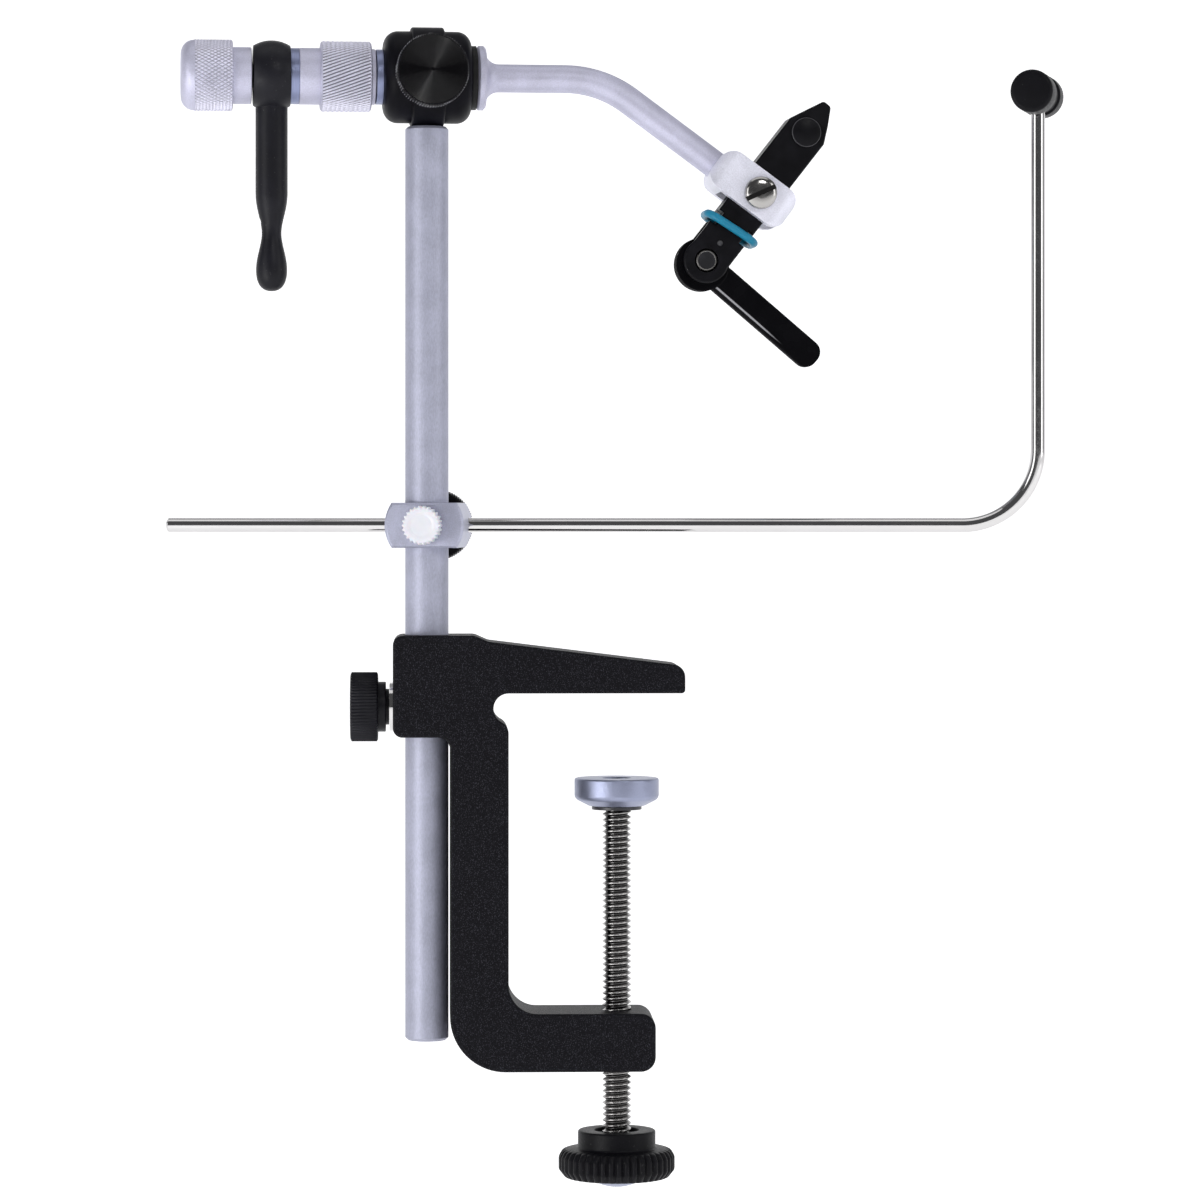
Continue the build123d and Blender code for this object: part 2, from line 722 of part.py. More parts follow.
knob_neck_start = crank_left + knob_gap
crank_stud_end = knob_neck_start + crank_stud_grip
with BuildPart() as crank_stud:
    with BuildSketch(Plane((stem_x - shaft_left + crank_stud_sink, 0, axis_height), (0, 1, 0),
                           (-1, 0, 0))):
        Circle(stud_radius)
    extrude(amount=crank_stud_sink + crank_stud_end - shaft_left)
crank_stud.part.label = "crank_stud"
export_step(crank_stud.part.rotate(stem_line, head_turn), "parts/crank_stud.step")

# Crank: a ball cut flat on two sides, and a handle turned on a line straight down
ball_radius = crank_ball_diameter / 2
handle_radius = handle_diameter / 2
handle_axis = Axis((stem_x - crank_middle, 0, axis_height), (0, 0, 1))
with BuildPart() as crank_handle:
    with BuildSketch(head_side):
        with BuildLine():
            ThreePointArc((-crank_middle, ball_radius), (-crank_middle + ball_radius, 0),
                          (-crank_middle, -ball_radius))
            Line((-crank_middle, -ball_radius), (-crank_middle, ball_radius))
        make_face()
    revolve(axis=handle_axis)
    with BuildSketch(Plane((stem_x - washer_left, 0, axis_height), (0, 1, 0), (1, 0, 0))):
        Circle(crank_ball_diameter)
    extrude(amount=ball_radius, mode=Mode.SUBTRACT)
    with BuildSketch(Plane((stem_x - crank_left, 0, axis_height), (0, 1, 0), (-1, 0, 0))):
        Circle(crank_ball_diameter)
    extrude(amount=ball_radius, mode=Mode.SUBTRACT)
    with BuildSketch(head_side):
        with BuildLine():
            Polyline((-crank_middle, -handle_end_drop), (-crank_middle, 0),
                     (-crank_middle + handle_radius, 0),
                     (-crank_middle + handle_radius, -handle_straight))
            Spline((-crank_middle + handle_radius, -handle_straight),
                   (-crank_middle + handle_waist_diameter / 2, -handle_waist_drop),
                   (-crank_middle + handle_bulb_diameter / 2, -handle_bulb_drop),
                   (-crank_middle, -handle_end_drop),
                   tangents=((0, -1), (-1, 0)))
        make_face()
    revolve(axis=handle_axis)
    with BuildSketch(Plane((stem_x - washer_left, 0, axis_height), (0, 1, 0), (-1, 0, 0))):
        Circle(stud_radius)
    extrude(amount=crank_width, mode=Mode.SUBTRACT)
crank_handle.part.label = "crank_handle"
export_step(crank_handle.part.rotate(stem_line, head_turn), "parts/crank_handle.step")

# End knob
knob_radius = knob_diameter / 2
knob_neck_radius = knob_neck_diameter / 2
knob_dome_radius = knob_dome_diameter / 2
knob_knurl_start = knob_neck_start + knob_neck_length
knob_knurl_end = knob_knurl_start + knob_knurl_length
knob_tip = knob_knurl_end + knob_dome_length
with BuildPart() as end_knob:
    with BuildSketch(head_side):
        with BuildLine():
            Polyline((-knob_tip, knob_dome_radius), (-knob_tip, 0), (-knob_neck_start, 0),
                     (-knob_neck_start, knob_neck_radius),
                     (-knob_knurl_start, knob_neck_radius),
                     (-knob_knurl_start, knob_radius - knob_edge),
                     (-knob_knurl_start - knob_edge, knob_radius),
                     (-knob_knurl_end, knob_radius))
            RadiusArc((-knob_knurl_end, knob_radius), (-knob_tip, knob_dome_radius),
                      -knob_dome_diameter)
        make_face()
    revolve(axis=rotor_axis)
    with BuildSketch(Plane((stem_x - knob_neck_start, 0, axis_height), (0, 1, 0), (-1, 0, 0))):
        Circle(stud_radius + run_fit)
    extrude(amount=crank_stud_grip + end_play, mode=Mode.SUBTRACT)
end_knob.part.label = "end_knob"
export_step(end_knob.part.rotate(stem_line, head_turn), "parts/end_knob.step")


# Jaw holder: a block on the leg, slotted for the jaws
leg_dir = (leg_cos, 0, -leg_sin)
shoulder_point = (stem_x + bend_reach + leg_cos * leg_length, 0, axis_height - leg_sin * leg_length)
pivot_along = leg_length + pivot_reach
pivot_point = (stem_x + bend_reach + leg_cos * pivot_along, 0, axis_height - leg_sin * pivot_along)
holder_side = Plane(origin=shoulder_point, x_dir=leg_dir, z_dir=(0, -1, 0))
holder_nose = Plane(origin=shoulder_point, x_dir=(0, 1, 0), z_dir=leg_dir)
slot_length = holder_length - holder_web
with BuildPart() as jaw_holder:
    with BuildSketch(holder_nose):
        Rectangle(holder_depth, holder_height)
    extrude(amount=holder_length)
    nose_edges = jaw_holder.faces().sort_by(Axis(shoulder_point, leg_dir))[0].edges()
    tail_edges = jaw_holder.faces().sort_by(Axis(shoulder_point, leg_dir))[-1].edges()
    fillet(nose_edges + tail_edges, holder_round)
    with BuildSketch(holder_nose.offset(holder_web)):
        Rectangle(slot_width, holder_height + overrun)
    extrude(amount=slot_length, mode=Mode.SUBTRACT)
    with BuildSketch(holder_nose):
        Circle(arm_radius)
    extrude(amount=leg_sink, mode=Mode.SUBTRACT)
    with BuildSketch(holder_side.offset(-holder_depth / 2)):
        with Locations((pivot_reach, 0)):
            Circle(pivot_diameter / 2)
    extrude(amount=holder_depth, mode=Mode.SUBTRACT)
jaw_holder.part.label = "jaw_holder"
export_step(jaw_holder.part.rotate(stem_line, head_turn), "parts/jaw_holder.step")

jaw_cos = cos(radians(jaw_tilt))
jaw_sin = sin(radians(jaw_tilt))
jaw_side = Plane(origin=pivot_point, x_dir=(jaw_cos, 0, jaw_sin), z_dir=(0, -1, 0))
with BuildPart() as jaw_screw:
    with BuildSketch(holder_side.offset(-holder_depth / 2)):
        with Locations((pivot_reach, 0)):
            Circle(pivot_diameter / 2)
    extrude(amount=holder_depth)
    with BuildSketch(holder_side.offset(holder_depth / 2)):
        with Locations((pivot_reach, 0)):
            Circle(screw_head_diameter / 2)
    extrude(amount=screw_head_height)
    top_edge = jaw_screw.edges().filter_by(GeomType.CIRCLE).sort_by(Axis.Y)[0]
    fillet(top_edge, screw_head_round)
    with BuildSketch(holder_side.offset(holder_depth / 2 + screw_head_height - screw_slot_depth)):
        with Locations((pivot_reach, 0)):
            Rectangle(screw_head_diameter + overrun, screw_slot_width,
                      rotation=screw_slot_angle + leg_angle)
    extrude(amount=screw_slot_depth, mode=Mode.SUBTRACT)
jaw_screw.part.label = "jaw_screw"
export_step(jaw_screw.part.rotate(stem_line, head_turn), "parts/jaw_screw.step")


# Jaws: two plates with one outline, thinned at the tip and pocketed for the lever's hub
half_width = jaw_width / 2
point_start = jaw_tip_reach - jaw_point_length
jaw_outline = [
    (-pin_reach, half_width),
    (point_start, half_width),
    (jaw_tip_reach, jaw_tip_width / 2),
    (jaw_tip_reach, -jaw_tip_width / 2),
    (point_start, -half_width),
    (-pin_reach, -half_width),
]
jaw_rounds = [0, jaw_shoulder_round, jaw_tip_round, jaw_tip_round, jaw_shoulder_round, 0]
ring_at = -pin_reach + ring_reach
half_gap = jaw_gap / 2
jaw_outer = half_gap + jaw_thickness
bevel_start = jaw_tip_reach - jaw_bevel_length
bevel_end = jaw_tip_reach + overrun
bevel_fall = (jaw_thickness - jaw_tip_thickness) / jaw_bevel_length * (jaw_bevel_length + overrun)
pocket_length = heel_radius + pocket_reach + overrun
pocket_middle = -pin_reach + pocket_reach - pocket_length / 2
jaw_edge_plane = Plane(origin=pivot_point, x_dir=(jaw_cos, 0, jaw_sin), z_dir=(-jaw_sin, 0, jaw_cos))
with BuildPart() as front_jaw:
    with BuildSketch(jaw_side.offset(half_gap)):
        with BuildLine():
            FilletPolyline(*jaw_outline, radius=jaw_rounds, close=True)
        make_face()
        with Locations((-pin_reach, 0)):
            Circle(heel_radius)
        with Locations((ring_at, half_width), (ring_at, -half_width)):
            Rectangle(ring_notch_length, ring_notch_depth * 2, mode=Mode.SUBTRACT)
    extrude(amount=jaw_thickness)
    outer_edges = front_jaw.faces().sort_by(Axis.Y)[0].edges()
    chamfer(outer_edges, jaw_edge)
    with BuildSketch(jaw_side.offset(half_gap)):
        with Locations((pocket_middle, 0)):
            Rectangle(pocket_length, heel_radius * 2 + overrun)
    extrude(amount=pocket_depth, mode=Mode.SUBTRACT)
    with BuildSketch(jaw_edge_plane.offset(-jaw_width)):
        with BuildLine():
            Polyline((bevel_start, -jaw_outer), (bevel_end, -jaw_outer + bevel_fall),
                     (bevel_end, -jaw_outer), close=True)
        make_face()
    extrude(amount=jaw_width * 2, mode=Mode.SUBTRACT)
    with BuildSketch(jaw_side.offset(half_gap)):
        Circle(pivot_diameter / 2 + jaw_pivot_play)
        with Locations((-pin_reach, 0)):
            Circle(pin_diameter / 2 + jaw_pivot_play)
        with Locations((-pin_reach + follower_reach, 0)):
            Circle(follower_diameter / 2)
        with Locations((gap_screw_reach, 0)):
            Circle(gap_screw_shank / 2)
    extrude(amount=jaw_thickness, mode=Mode.SUBTRACT)
front_jaw.part.label = "front_jaw"
export_step(front_jaw.part.rotate(stem_line, head_turn), "parts/front_jaw.step")

with BuildPart() as rear_jaw:
    with BuildSketch(jaw_side.offset(-half_gap)):
        with BuildLine():
            FilletPolyline(*jaw_outline, radius=jaw_rounds, close=True)
        make_face()
        with Locations((-pin_reach, 0)):
            Circle(heel_radius)
        with Locations((ring_at, half_width), (ring_at, -half_width)):
            Rectangle(ring_notch_length, ring_notch_depth * 2, mode=Mode.SUBTRACT)
    extrude(amount=-jaw_thickness)
    outer_edges = rear_jaw.faces().sort_by(Axis.Y)[-1].edges()
    chamfer(outer_edges, jaw_edge)
    with BuildSketch(jaw_side.offset(-half_gap)):
        with Locations((pocket_middle, 0)):
            Rectangle(pocket_length, heel_radius * 2 + overrun)
    extrude(amount=-pocket_depth, mode=Mode.SUBTRACT)
    with BuildSketch(jaw_edge_plane.offset(-jaw_width)):
        with BuildLine():
            Polyline((bevel_start, jaw_outer), (bevel_end, jaw_outer - bevel_fall),
                     (bevel_end, jaw_outer), close=True)
        make_face()
    extrude(amount=jaw_width * 2, mode=Mode.SUBTRACT)
    with BuildSketch(jaw_side.offset(-half_gap)):
        Circle(pivot_diameter / 2 + run_fit)
        with Locations((-pin_reach, 0)):
            Circle(pin_diameter / 2)
    extrude(amount=-jaw_thickness, mode=Mode.SUBTRACT)
rear_jaw.part.label = "rear_jaw"
export_step(rear_jaw.part.rotate(stem_line, head_turn), "parts/rear_jaw.step")

shank_length = jaw_gap + jaw_thickness - gap_screw_end_gap
with BuildPart() as jaw_gap_screw:
    with BuildSketch(jaw_side.offset(jaw_outer)):
        with Locations((gap_screw_reach, 0)):
            Circle(gap_screw_diameter / 2)
    extrude(amount=gap_screw_height)
    with BuildSketch(jaw_side.offset(jaw_outer)):
        with Locations((gap_screw_reach, 0)):
            Circle(gap_screw_shank / 2)
    extrude(amount=-shank_length)
jaw_gap_screw.part.label = "jaw_gap_screw"
export_step(jaw_gap_screw.part.rotate(stem_line, head_turn), "parts/jaw_gap_screw.step")


# Cam: a pin, a hub whose front face is tilted, a follower pin in the front jaw, and the lever
pin_point = (pivot_point[0] - jaw_cos * pin_reach, 0, pivot_point[2] - jaw_sin * pin_reach)
hub_centre = (pin_point[0] - jaw_cos * hub_offset, 0, pin_point[2] - jaw_sin * hub_offset)
follower_lift = (pin_reach - follower_reach) * sin(radians(rock_angle))
cam_rise = follower_lift / (cos(radians(cam_start)) * 2)
cam_slope = cam_rise / follower_reach
low_angle = radians(jaw_tilt - cam_start)
cam_normal = (cam_slope * cos(low_angle), -1, cam_slope * sin(low_angle))
cam_face = Plane(origin=(pin_point[0], -hub_front, pin_point[2]), z_dir=cam_normal)
follower_tip = hub_front - cam_rise * cos(radians(cam_start)) + cam_play
hub_back = half_gap + pocket_depth - cam_play
lever_cos = cos(radians(lever_tilt))
lever_sin = sin(radians(lever_tilt))
lever_side = Plane(origin=pin_point, x_dir=(lever_cos, 0, lever_sin), z_dir=(0, -1, 0))
hub_side = Plane(origin=hub_centre, x_dir=(1, 0, 0), z_dir=(0, -1, 0))
hub_blank = hub_front + hub_back + pocket_depth
with BuildPart() as cam_pin:
    with BuildSketch(Plane(pin_point, (1, 0, 0), (0, -1, 0)).offset(-jaw_outer)):
        Circle(pin_diameter / 2)
    extrude(amount=jaw_outer * 2)
cam_pin.part.label = "cam_pin"
export_step(cam_pin.part.rotate(stem_line, head_turn), "parts/cam_pin.step")

with BuildPart() as cam_follower_pin:
    with BuildSketch(jaw_side.offset(follower_tip)):
        with Locations((-pin_reach + follower_reach, 0)):
            Circle(follower_diameter / 2)
    extrude(amount=jaw_outer - follower_tip)
cam_follower_pin.part.label = "cam_follower_pin"
export_step(cam_follower_pin.part.rotate(stem_line, head_turn), "parts/cam_follower_pin.step")

lever_back = lever_thickness - lever_front
with BuildPart() as cam_lever:
    with BuildSketch(lever_side.offset(-lever_back)):
        with BuildLine():
            Polyline((0, -lever_set - lever_width / 2), (lever_length, -lever_set - lever_width / 2),
                     (lever_length, -lever_set + lever_width / 2), (0, -lever_set + lever_width / 2),
                     close=True)
        make_face()
    extrude(amount=lever_thickness)
    end_edges = cam_lever.edges().filter_by(Axis.Y).sort_by(Axis(pin_point, (lever_cos, 0, lever_sin)))
    fillet(end_edges[-2:], lever_end_round)
    rim_edges = cam_lever.faces().filter_by(Axis.Y).edges()
    fillet(rim_edges, lever_edge_round)
    with BuildSketch(hub_side.offset(-hub_back)):
        Circle(hub_diameter / 2)
    extrude(amount=hub_blank)
    split(bisect_by=cam_face, keep=Keep.BOTTOM)
    with BuildSketch(lever_side.offset(-hub_back)):
        Circle(pin_diameter / 2 + run_fit)
    extrude(amount=hub_blank, mode=Mode.SUBTRACT)
cam_lever.part.label = "cam_lever"
export_step(cam_lever.part.rotate(stem_line, head_turn), "parts/cam_lever.step")


# Rubber ring round both jaws
ring_radius = ring_section / 2
ring_side = ring_width / 2 - ring_radius
ring_face = jaw_outer + ring_face_gap + ring_radius
ring_point = (pivot_point[0] + jaw_cos * ring_at, 0, pivot_point[2] + jaw_sin * ring_at)
ring_lean = radians(jaw_tilt + ring_tilt)
ring_plane = Plane(origin=ring_point, x_dir=(0, 1, 0), z_dir=(cos(ring_lean), 0, sin(ring_lean)))
with BuildPart() as jaw_o_ring:
    with BuildLine(ring_plane) as ring_path:
        FilletPolyline((ring_face, ring_side), (-ring_face, ring_side), (-ring_face, -ring_side),
                       (ring_face, -ring_side), radius=ring_corner, close=True)
    ring_start = ring_path.line @ 0
    ring_heading = ring_path.line % 0
    with BuildSketch(Plane(origin=ring_start, z_dir=ring_heading)):
        Circle(ring_radius)
    sweep(path=ring_path.line)
jaw_o_ring.part.label = "jaw_o_ring"
export_step(jaw_o_ring.part.rotate(stem_line, head_turn), "parts/jaw_o_ring.step")


# Cradle bracket, in its own frame turned about the stem
turn_cos = cos(radians(cradle_turn))
turn_sin = sin(radians(cradle_turn))
cradle_point = (stem_x, 0, cradle_height)
to_front = (turn_sin, -turn_cos, 0)
to_right = (turn_cos, turn_sin, 0)
bracket_face = Plane(origin=cradle_point, x_dir=to_right, z_dir=to_front)
bracket_end = Plane(origin=cradle_point, x_dir=(-to_front[0], -to_front[1], 0), z_dir=to_right)
rod_point = (stem_x - to_front[0] * rod_set, -to_front[1] * rod_set, cradle_height)
rod_side = Plane(origin=rod_point, x_dir=to_right, z_dir=to_front)
bracket_back = bracket_depth - bracket_front
with BuildPart() as cradle_bracket:
    with BuildSketch(bracket_face.offset(-bracket_back)):
        Circle(bracket_diameter / 2)
        Rectangle(bracket_diameter, bracket_height, mode=Mode.INTERSECT)
    extrude(amount=bracket_depth)
    end_edges = cradle_bracket.faces().sort_by(Axis(cradle_point, to_front))[-1].edges()
    chamfer(end_edges, bracket_edge)
    with BuildSketch(Plane.XY.offset(cradle_height - bracket_height)):
        with Locations((stem_x, 0)):
            Circle(stem_radius + slide_fit)
    extrude(amount=bracket_height * 2, mode=Mode.SUBTRACT)
    with BuildSketch(bracket_end.offset(-bracket_diameter)):
        with Locations((rod_set, 0)):
            Circle(rod_diameter / 2 + slide_fit)
    extrude(amount=bracket_diameter * 2, mode=Mode.SUBTRACT)
    with BuildSketch(bracket_face):
        Circle(thumb_stud_diameter / 2 + thread_fit)
    extrude(amount=bracket_depth, mode=Mode.SUBTRACT)
    with BuildSketch(bracket_face.offset(-rod_set)):
        Circle(rear_stud_diameter / 2 + thread_fit)
    extrude(amount=-bracket_depth, mode=Mode.SUBTRACT)
cradle_bracket.part.label = "cradle_bracket"
export_step(cradle_bracket.part, "parts/cradle_bracket.step")

# White nylon thumb screw at the front
thumb_start = bracket_front + thumb_gap
with BuildPart() as cradle_stem_screw:
    with BuildSketch(bracket_face.offset(thumb_start)):
        Circle(thumb_diameter / 2)
        with PolarLocations(thumb_diameter / 2 + thumb_scallop_radius / 2, thumb_scallop_count):
            Circle(thumb_scallop_radius, mode=Mode.SUBTRACT)
    extrude(amount=thumb_length)
    with BuildSketch(bracket_face.offset(bracket_front + end_play)):
        Circle(thumb_neck_diameter / 2)
    extrude(amount=thumb_gap - end_play)
    with BuildSketch(bracket_face.offset(stem_radius + rub_gap)):
        Circle(thumb_stud_diameter / 2)
    extrude(amount=thumb_start - stem_radius - rub_gap)
cradle_stem_screw.part.label = "cradle_stem_screw"
export_step(cradle_stem_screw.part, "parts/cradle_stem_screw.step")

# Black knob at the back, with its stud
rear_neck_start = bracket_back + rear_knob_gap
rear_knob_start = rear_neck_start + rear_neck_length
rear_stud_tip = rod_set + rod_diameter / 2 + rub_gap
rear_stud_end = rear_neck_start + rear_stud_grip
with BuildPart() as cradle_rod_knob:
    with BuildSketch(bracket_face.offset(-rear_knob_start)):
        Circle(rear_knob_diameter / 2)
    extrude(amount=-rear_knob_length)
    chamfer(cradle_rod_knob.edges().filter_by(GeomType.CIRCLE), rear_knob_edge)
    with BuildSketch(bracket_face.offset(-rear_neck_start)):
        Circle(rear_neck_diameter / 2)
    extrude(amount=-rear_neck_length)
    with BuildSketch(bracket_face.offset(-rear_neck_start)):
        Circle(rear_stud_diameter / 2)
    extrude(amount=-rear_stud_grip, mode=Mode.SUBTRACT)
cradle_rod_knob.part.label = "cradle_rod_knob"
export_step(cradle_rod_knob.part, "parts/cradle_rod_knob.step")

with BuildPart() as cradle_rod_stud:
    with BuildSketch(bracket_face.offset(-rear_stud_tip)):
        Circle(rear_stud_diameter / 2)
    extrude(amount=rear_stud_tip - rear_stud_end)
cradle_rod_stud.part.label = "cradle_rod_stud"
export_step(cradle_rod_stud.part, "parts/cradle_rod_stud.step")

# Rod: level through the bracket, bent up to the peg
leg_rise = peg_height - cradle_height + leg_sink_in_peg
with BuildPart() as cradle_rod:
    with BuildLine(rod_side) as rod_path:
        FilletPolyline((-rod_left, 0), (rod_right, 0), (rod_right, leg_rise), radius=rod_bend_radius)
    rod_start = rod_path.line @ 0
    with BuildSketch(Plane(origin=rod_start, z_dir=to_right)):
        Circle(rod_diameter / 2)
    sweep(path=rod_path.line)
    start_edge = cradle_rod.edges().filter_by(GeomType.CIRCLE).sort_by(Axis.X)[0]
    chamfer(start_edge, rod_end_chamfer)
cradle_rod.part.label = "cradle_rod"
export_step(cradle_rod.part, "parts/cradle_rod.step")

# Peg across the rod's top
peg_point = (rod_point[0] + to_right[0] * rod_right, rod_point[1] + to_right[1] * rod_right, peg_height)
peg_angle = radians(cradle_turn + peg_turn)
peg_front_dir = (sin(peg_angle), -cos(peg_angle), 0)
peg_right_dir = (cos(peg_angle), sin(peg_angle), 0)
peg_face = Plane(origin=peg_point, x_dir=peg_right_dir, z_dir=peg_front_dir)
peg_groove_front = peg_front - peg_rim_length
with BuildPart() as cradle_peg:
    with BuildSketch(peg_face.offset(peg_front - peg_length)):
        Circle(peg_diameter / 2)
    extrude(amount=peg_length)
    rim_edges = cradle_peg.edges().filter_by(GeomType.CIRCLE)
    fillet(rim_edges, peg_edge)
    with BuildSketch(peg_face.offset(peg_groove_front - peg_groove_length)):
        Circle(peg_diameter)
        Circle(peg_groove_diameter / 2, mode=Mode.SUBTRACT)
    extrude(amount=peg_groove_length, mode=Mode.SUBTRACT)
    with BuildSketch(Plane(origin=peg_point, z_dir=(0, 0, -1)).offset(-leg_sink_in_peg)):
        Circle(rod_diameter / 2)
    extrude(amount=peg_diameter, mode=Mode.SUBTRACT)
cradle_peg.part.label = "cradle_peg"
export_step(cradle_peg.part, "parts/cradle_peg.step")
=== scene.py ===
"""Looks of a fly tying vise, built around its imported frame.

Sizes are in millimetres in the frame's own axes, and each piece is scaled to metres when its
mesh is made. Pieces sit at the origin, with their place in their mesh.
"""
import json
import math

import bmesh
import bpy
from mathutils import Matrix, Vector


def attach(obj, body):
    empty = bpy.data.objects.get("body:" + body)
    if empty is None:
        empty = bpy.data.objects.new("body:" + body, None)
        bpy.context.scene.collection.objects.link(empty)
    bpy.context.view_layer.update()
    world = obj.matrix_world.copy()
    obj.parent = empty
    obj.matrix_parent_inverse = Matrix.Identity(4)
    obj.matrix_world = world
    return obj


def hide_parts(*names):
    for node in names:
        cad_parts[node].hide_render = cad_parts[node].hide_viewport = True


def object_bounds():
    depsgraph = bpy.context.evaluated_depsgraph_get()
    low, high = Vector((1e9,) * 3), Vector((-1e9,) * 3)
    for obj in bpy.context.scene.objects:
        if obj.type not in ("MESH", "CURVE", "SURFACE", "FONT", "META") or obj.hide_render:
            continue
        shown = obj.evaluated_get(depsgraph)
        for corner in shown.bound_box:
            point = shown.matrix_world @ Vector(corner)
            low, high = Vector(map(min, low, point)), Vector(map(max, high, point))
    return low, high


MM = 0.001
FULL = 2 * math.pi
QUARTER = math.pi / 2
# Points closer than this, in millimetres, are merged
MERGE = 5e-4
# A turned piece is spun from one of this many sectors
SECTORS = 8

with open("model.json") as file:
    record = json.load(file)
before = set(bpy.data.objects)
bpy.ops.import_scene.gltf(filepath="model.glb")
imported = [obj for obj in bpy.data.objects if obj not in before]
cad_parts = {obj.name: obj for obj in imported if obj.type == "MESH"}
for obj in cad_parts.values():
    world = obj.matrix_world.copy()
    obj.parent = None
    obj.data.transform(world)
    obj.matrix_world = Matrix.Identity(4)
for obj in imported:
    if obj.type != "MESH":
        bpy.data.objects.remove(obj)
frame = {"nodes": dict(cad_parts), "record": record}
nodes = frame["nodes"]
cad_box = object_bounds()


class Line:
    """An axis in space, about which outlines are turned."""

    def __init__(self, origin, along, side):
        self.origin = Vector(origin)
        self.along = Vector(along).normalized()
        self.side = Vector(side).normalized()
        self.other = self.along.cross(self.side)

    def point(self, along, radius, angle=0.0):
        across = self.side * math.cos(angle) + self.other * math.sin(angle)
        return self.origin + self.along * along + across * radius

    def find(self, point):
        """The place along the axis, the radius and the angle of a point."""
        away = point - self.origin
        x, y = away.dot(self.side), away.dot(self.other)
        return away.dot(self.along), math.hypot(x, y), math.atan2(y, x)


# Directions and places that several pieces share
RIGHT = Vector((1, 0, 0))
FRONT = Vector((0, -1, 0))
UP = Vector((0, 0, 1))
STEM_X = -41.8
AXIS_Z = 135.2
CRADLE_Z = 36.7
CRADLE_TURN = math.radians(-5.6)
ROD_BEHIND = 7.4
ROD_RIGHT = 134.15
TO_RIGHT = Vector((math.cos(CRADLE_TURN), math.sin(CRADLE_TURN), 0))
TO_FRONT = Vector((math.sin(CRADLE_TURN), -math.cos(CRADLE_TURN), 0))
CRADLE_POINT = Vector((STEM_X, 0, CRADLE_Z))
ROD_POINT = CRADLE_POINT - TO_FRONT * ROD_BEHIND
ROD_CORNER = ROD_POINT + TO_RIGHT * ROD_RIGHT
PEG_TURN = math.radians(-16.3)
PEG_Z = 131.4

ARM_RUN = 38.5
LEG_LENGTH = 42.85
PIN_REACH = 18.7
HEAD_TURN = Matrix.Rotation(math.radians(4.4), 3, "Z")
HEAD = Vector((STEM_X, 0, AXIS_Z))
HEAD_RIGHT = HEAD_TURN @ RIGHT
HEAD_FRONT = HEAD_TURN @ FRONT
LEG = math.radians(36.2)
LEG_DIR = HEAD_TURN @ Vector((math.cos(LEG), 0, -math.sin(LEG)))
PIVOT = HEAD + HEAD_RIGHT * ARM_RUN + LEG_DIR * LEG_LENGTH
JAW = math.radians(52.0)
JAW_DIR = HEAD_TURN @ Vector((math.cos(JAW), 0, math.sin(JAW)))
JAW_FACE = 4.25
PIN = PIVOT - JAW_DIR * PIN_REACH

STEM_LOCK_Z = -3.2
spindle_line = Line((0, 0, 0), UP, RIGHT)
rotor_line = Line(HEAD, -HEAD_RIGHT, HEAD_FRONT)
brake_line = Line(HEAD, HEAD_FRONT, HEAD_RIGHT)
rod_lock_line = Line(CRADLE_POINT, -TO_FRONT, TO_RIGHT)
thumb_line = Line(CRADLE_POINT, TO_FRONT, TO_RIGHT)
stem_lock_line = Line((0, 0, STEM_LOCK_Z), -RIGHT, FRONT)
pivot_line = Line(PIVOT, HEAD_FRONT, HEAD_RIGHT)
pin_line = Line(PIN, HEAD_FRONT, JAW_DIR)

# The lever's lower edge, where its front face starts to round off; a painted highlight runs along
# it
LEVER = math.radians(-40.4)
LEVER_EDGE_DOWN = 2.80
LEVER_EDGE_FRONT = 1.47
LEVER_DIR = HEAD_TURN @ Vector((math.cos(LEVER), 0, math.sin(LEVER)))
LEVER_DOWN = HEAD_TURN @ Vector((math.sin(LEVER), 0, -math.cos(LEVER)))
lever_edge_line = Line(PIN + LEVER_DOWN * LEVER_EDGE_DOWN + HEAD_FRONT * LEVER_EDGE_FRONT,
                       LEVER_DIR, HEAD_FRONT)


class Val:
    """A shader socket that takes part in Python sums."""

    def __init__(self, graph, socket):
        self.graph = graph
        self.socket = socket

    def maths(self, operation, first, second):
        return self.graph.node("Math", "Value", {"operation": operation}, {0: first, 1: second})

    def __add__(self, other):
        return self.maths("ADD", self, other)

    def __rsub__(self, other):
        return self.maths("SUBTRACT", other, self)

    def __mul__(self, other):
        return self.maths("MULTIPLY", self, other)

    __radd__ = __add__
    __rmul__ = __mul__

    def most(self, other):
        """The larger of two values."""
        return self.maths("MAXIMUM", self, other)

    def ramp(self, low, high, start=0.0, end=1.0):
        """Runs smoothly from start at low to end at high."""
        return self.graph.node("MapRange", "Result", {"interpolation_type": "SMOOTHSTEP"},
                               {"Value": self, "From Min": low, "From Max": high,
                                "To Min": start, "To Max": end})


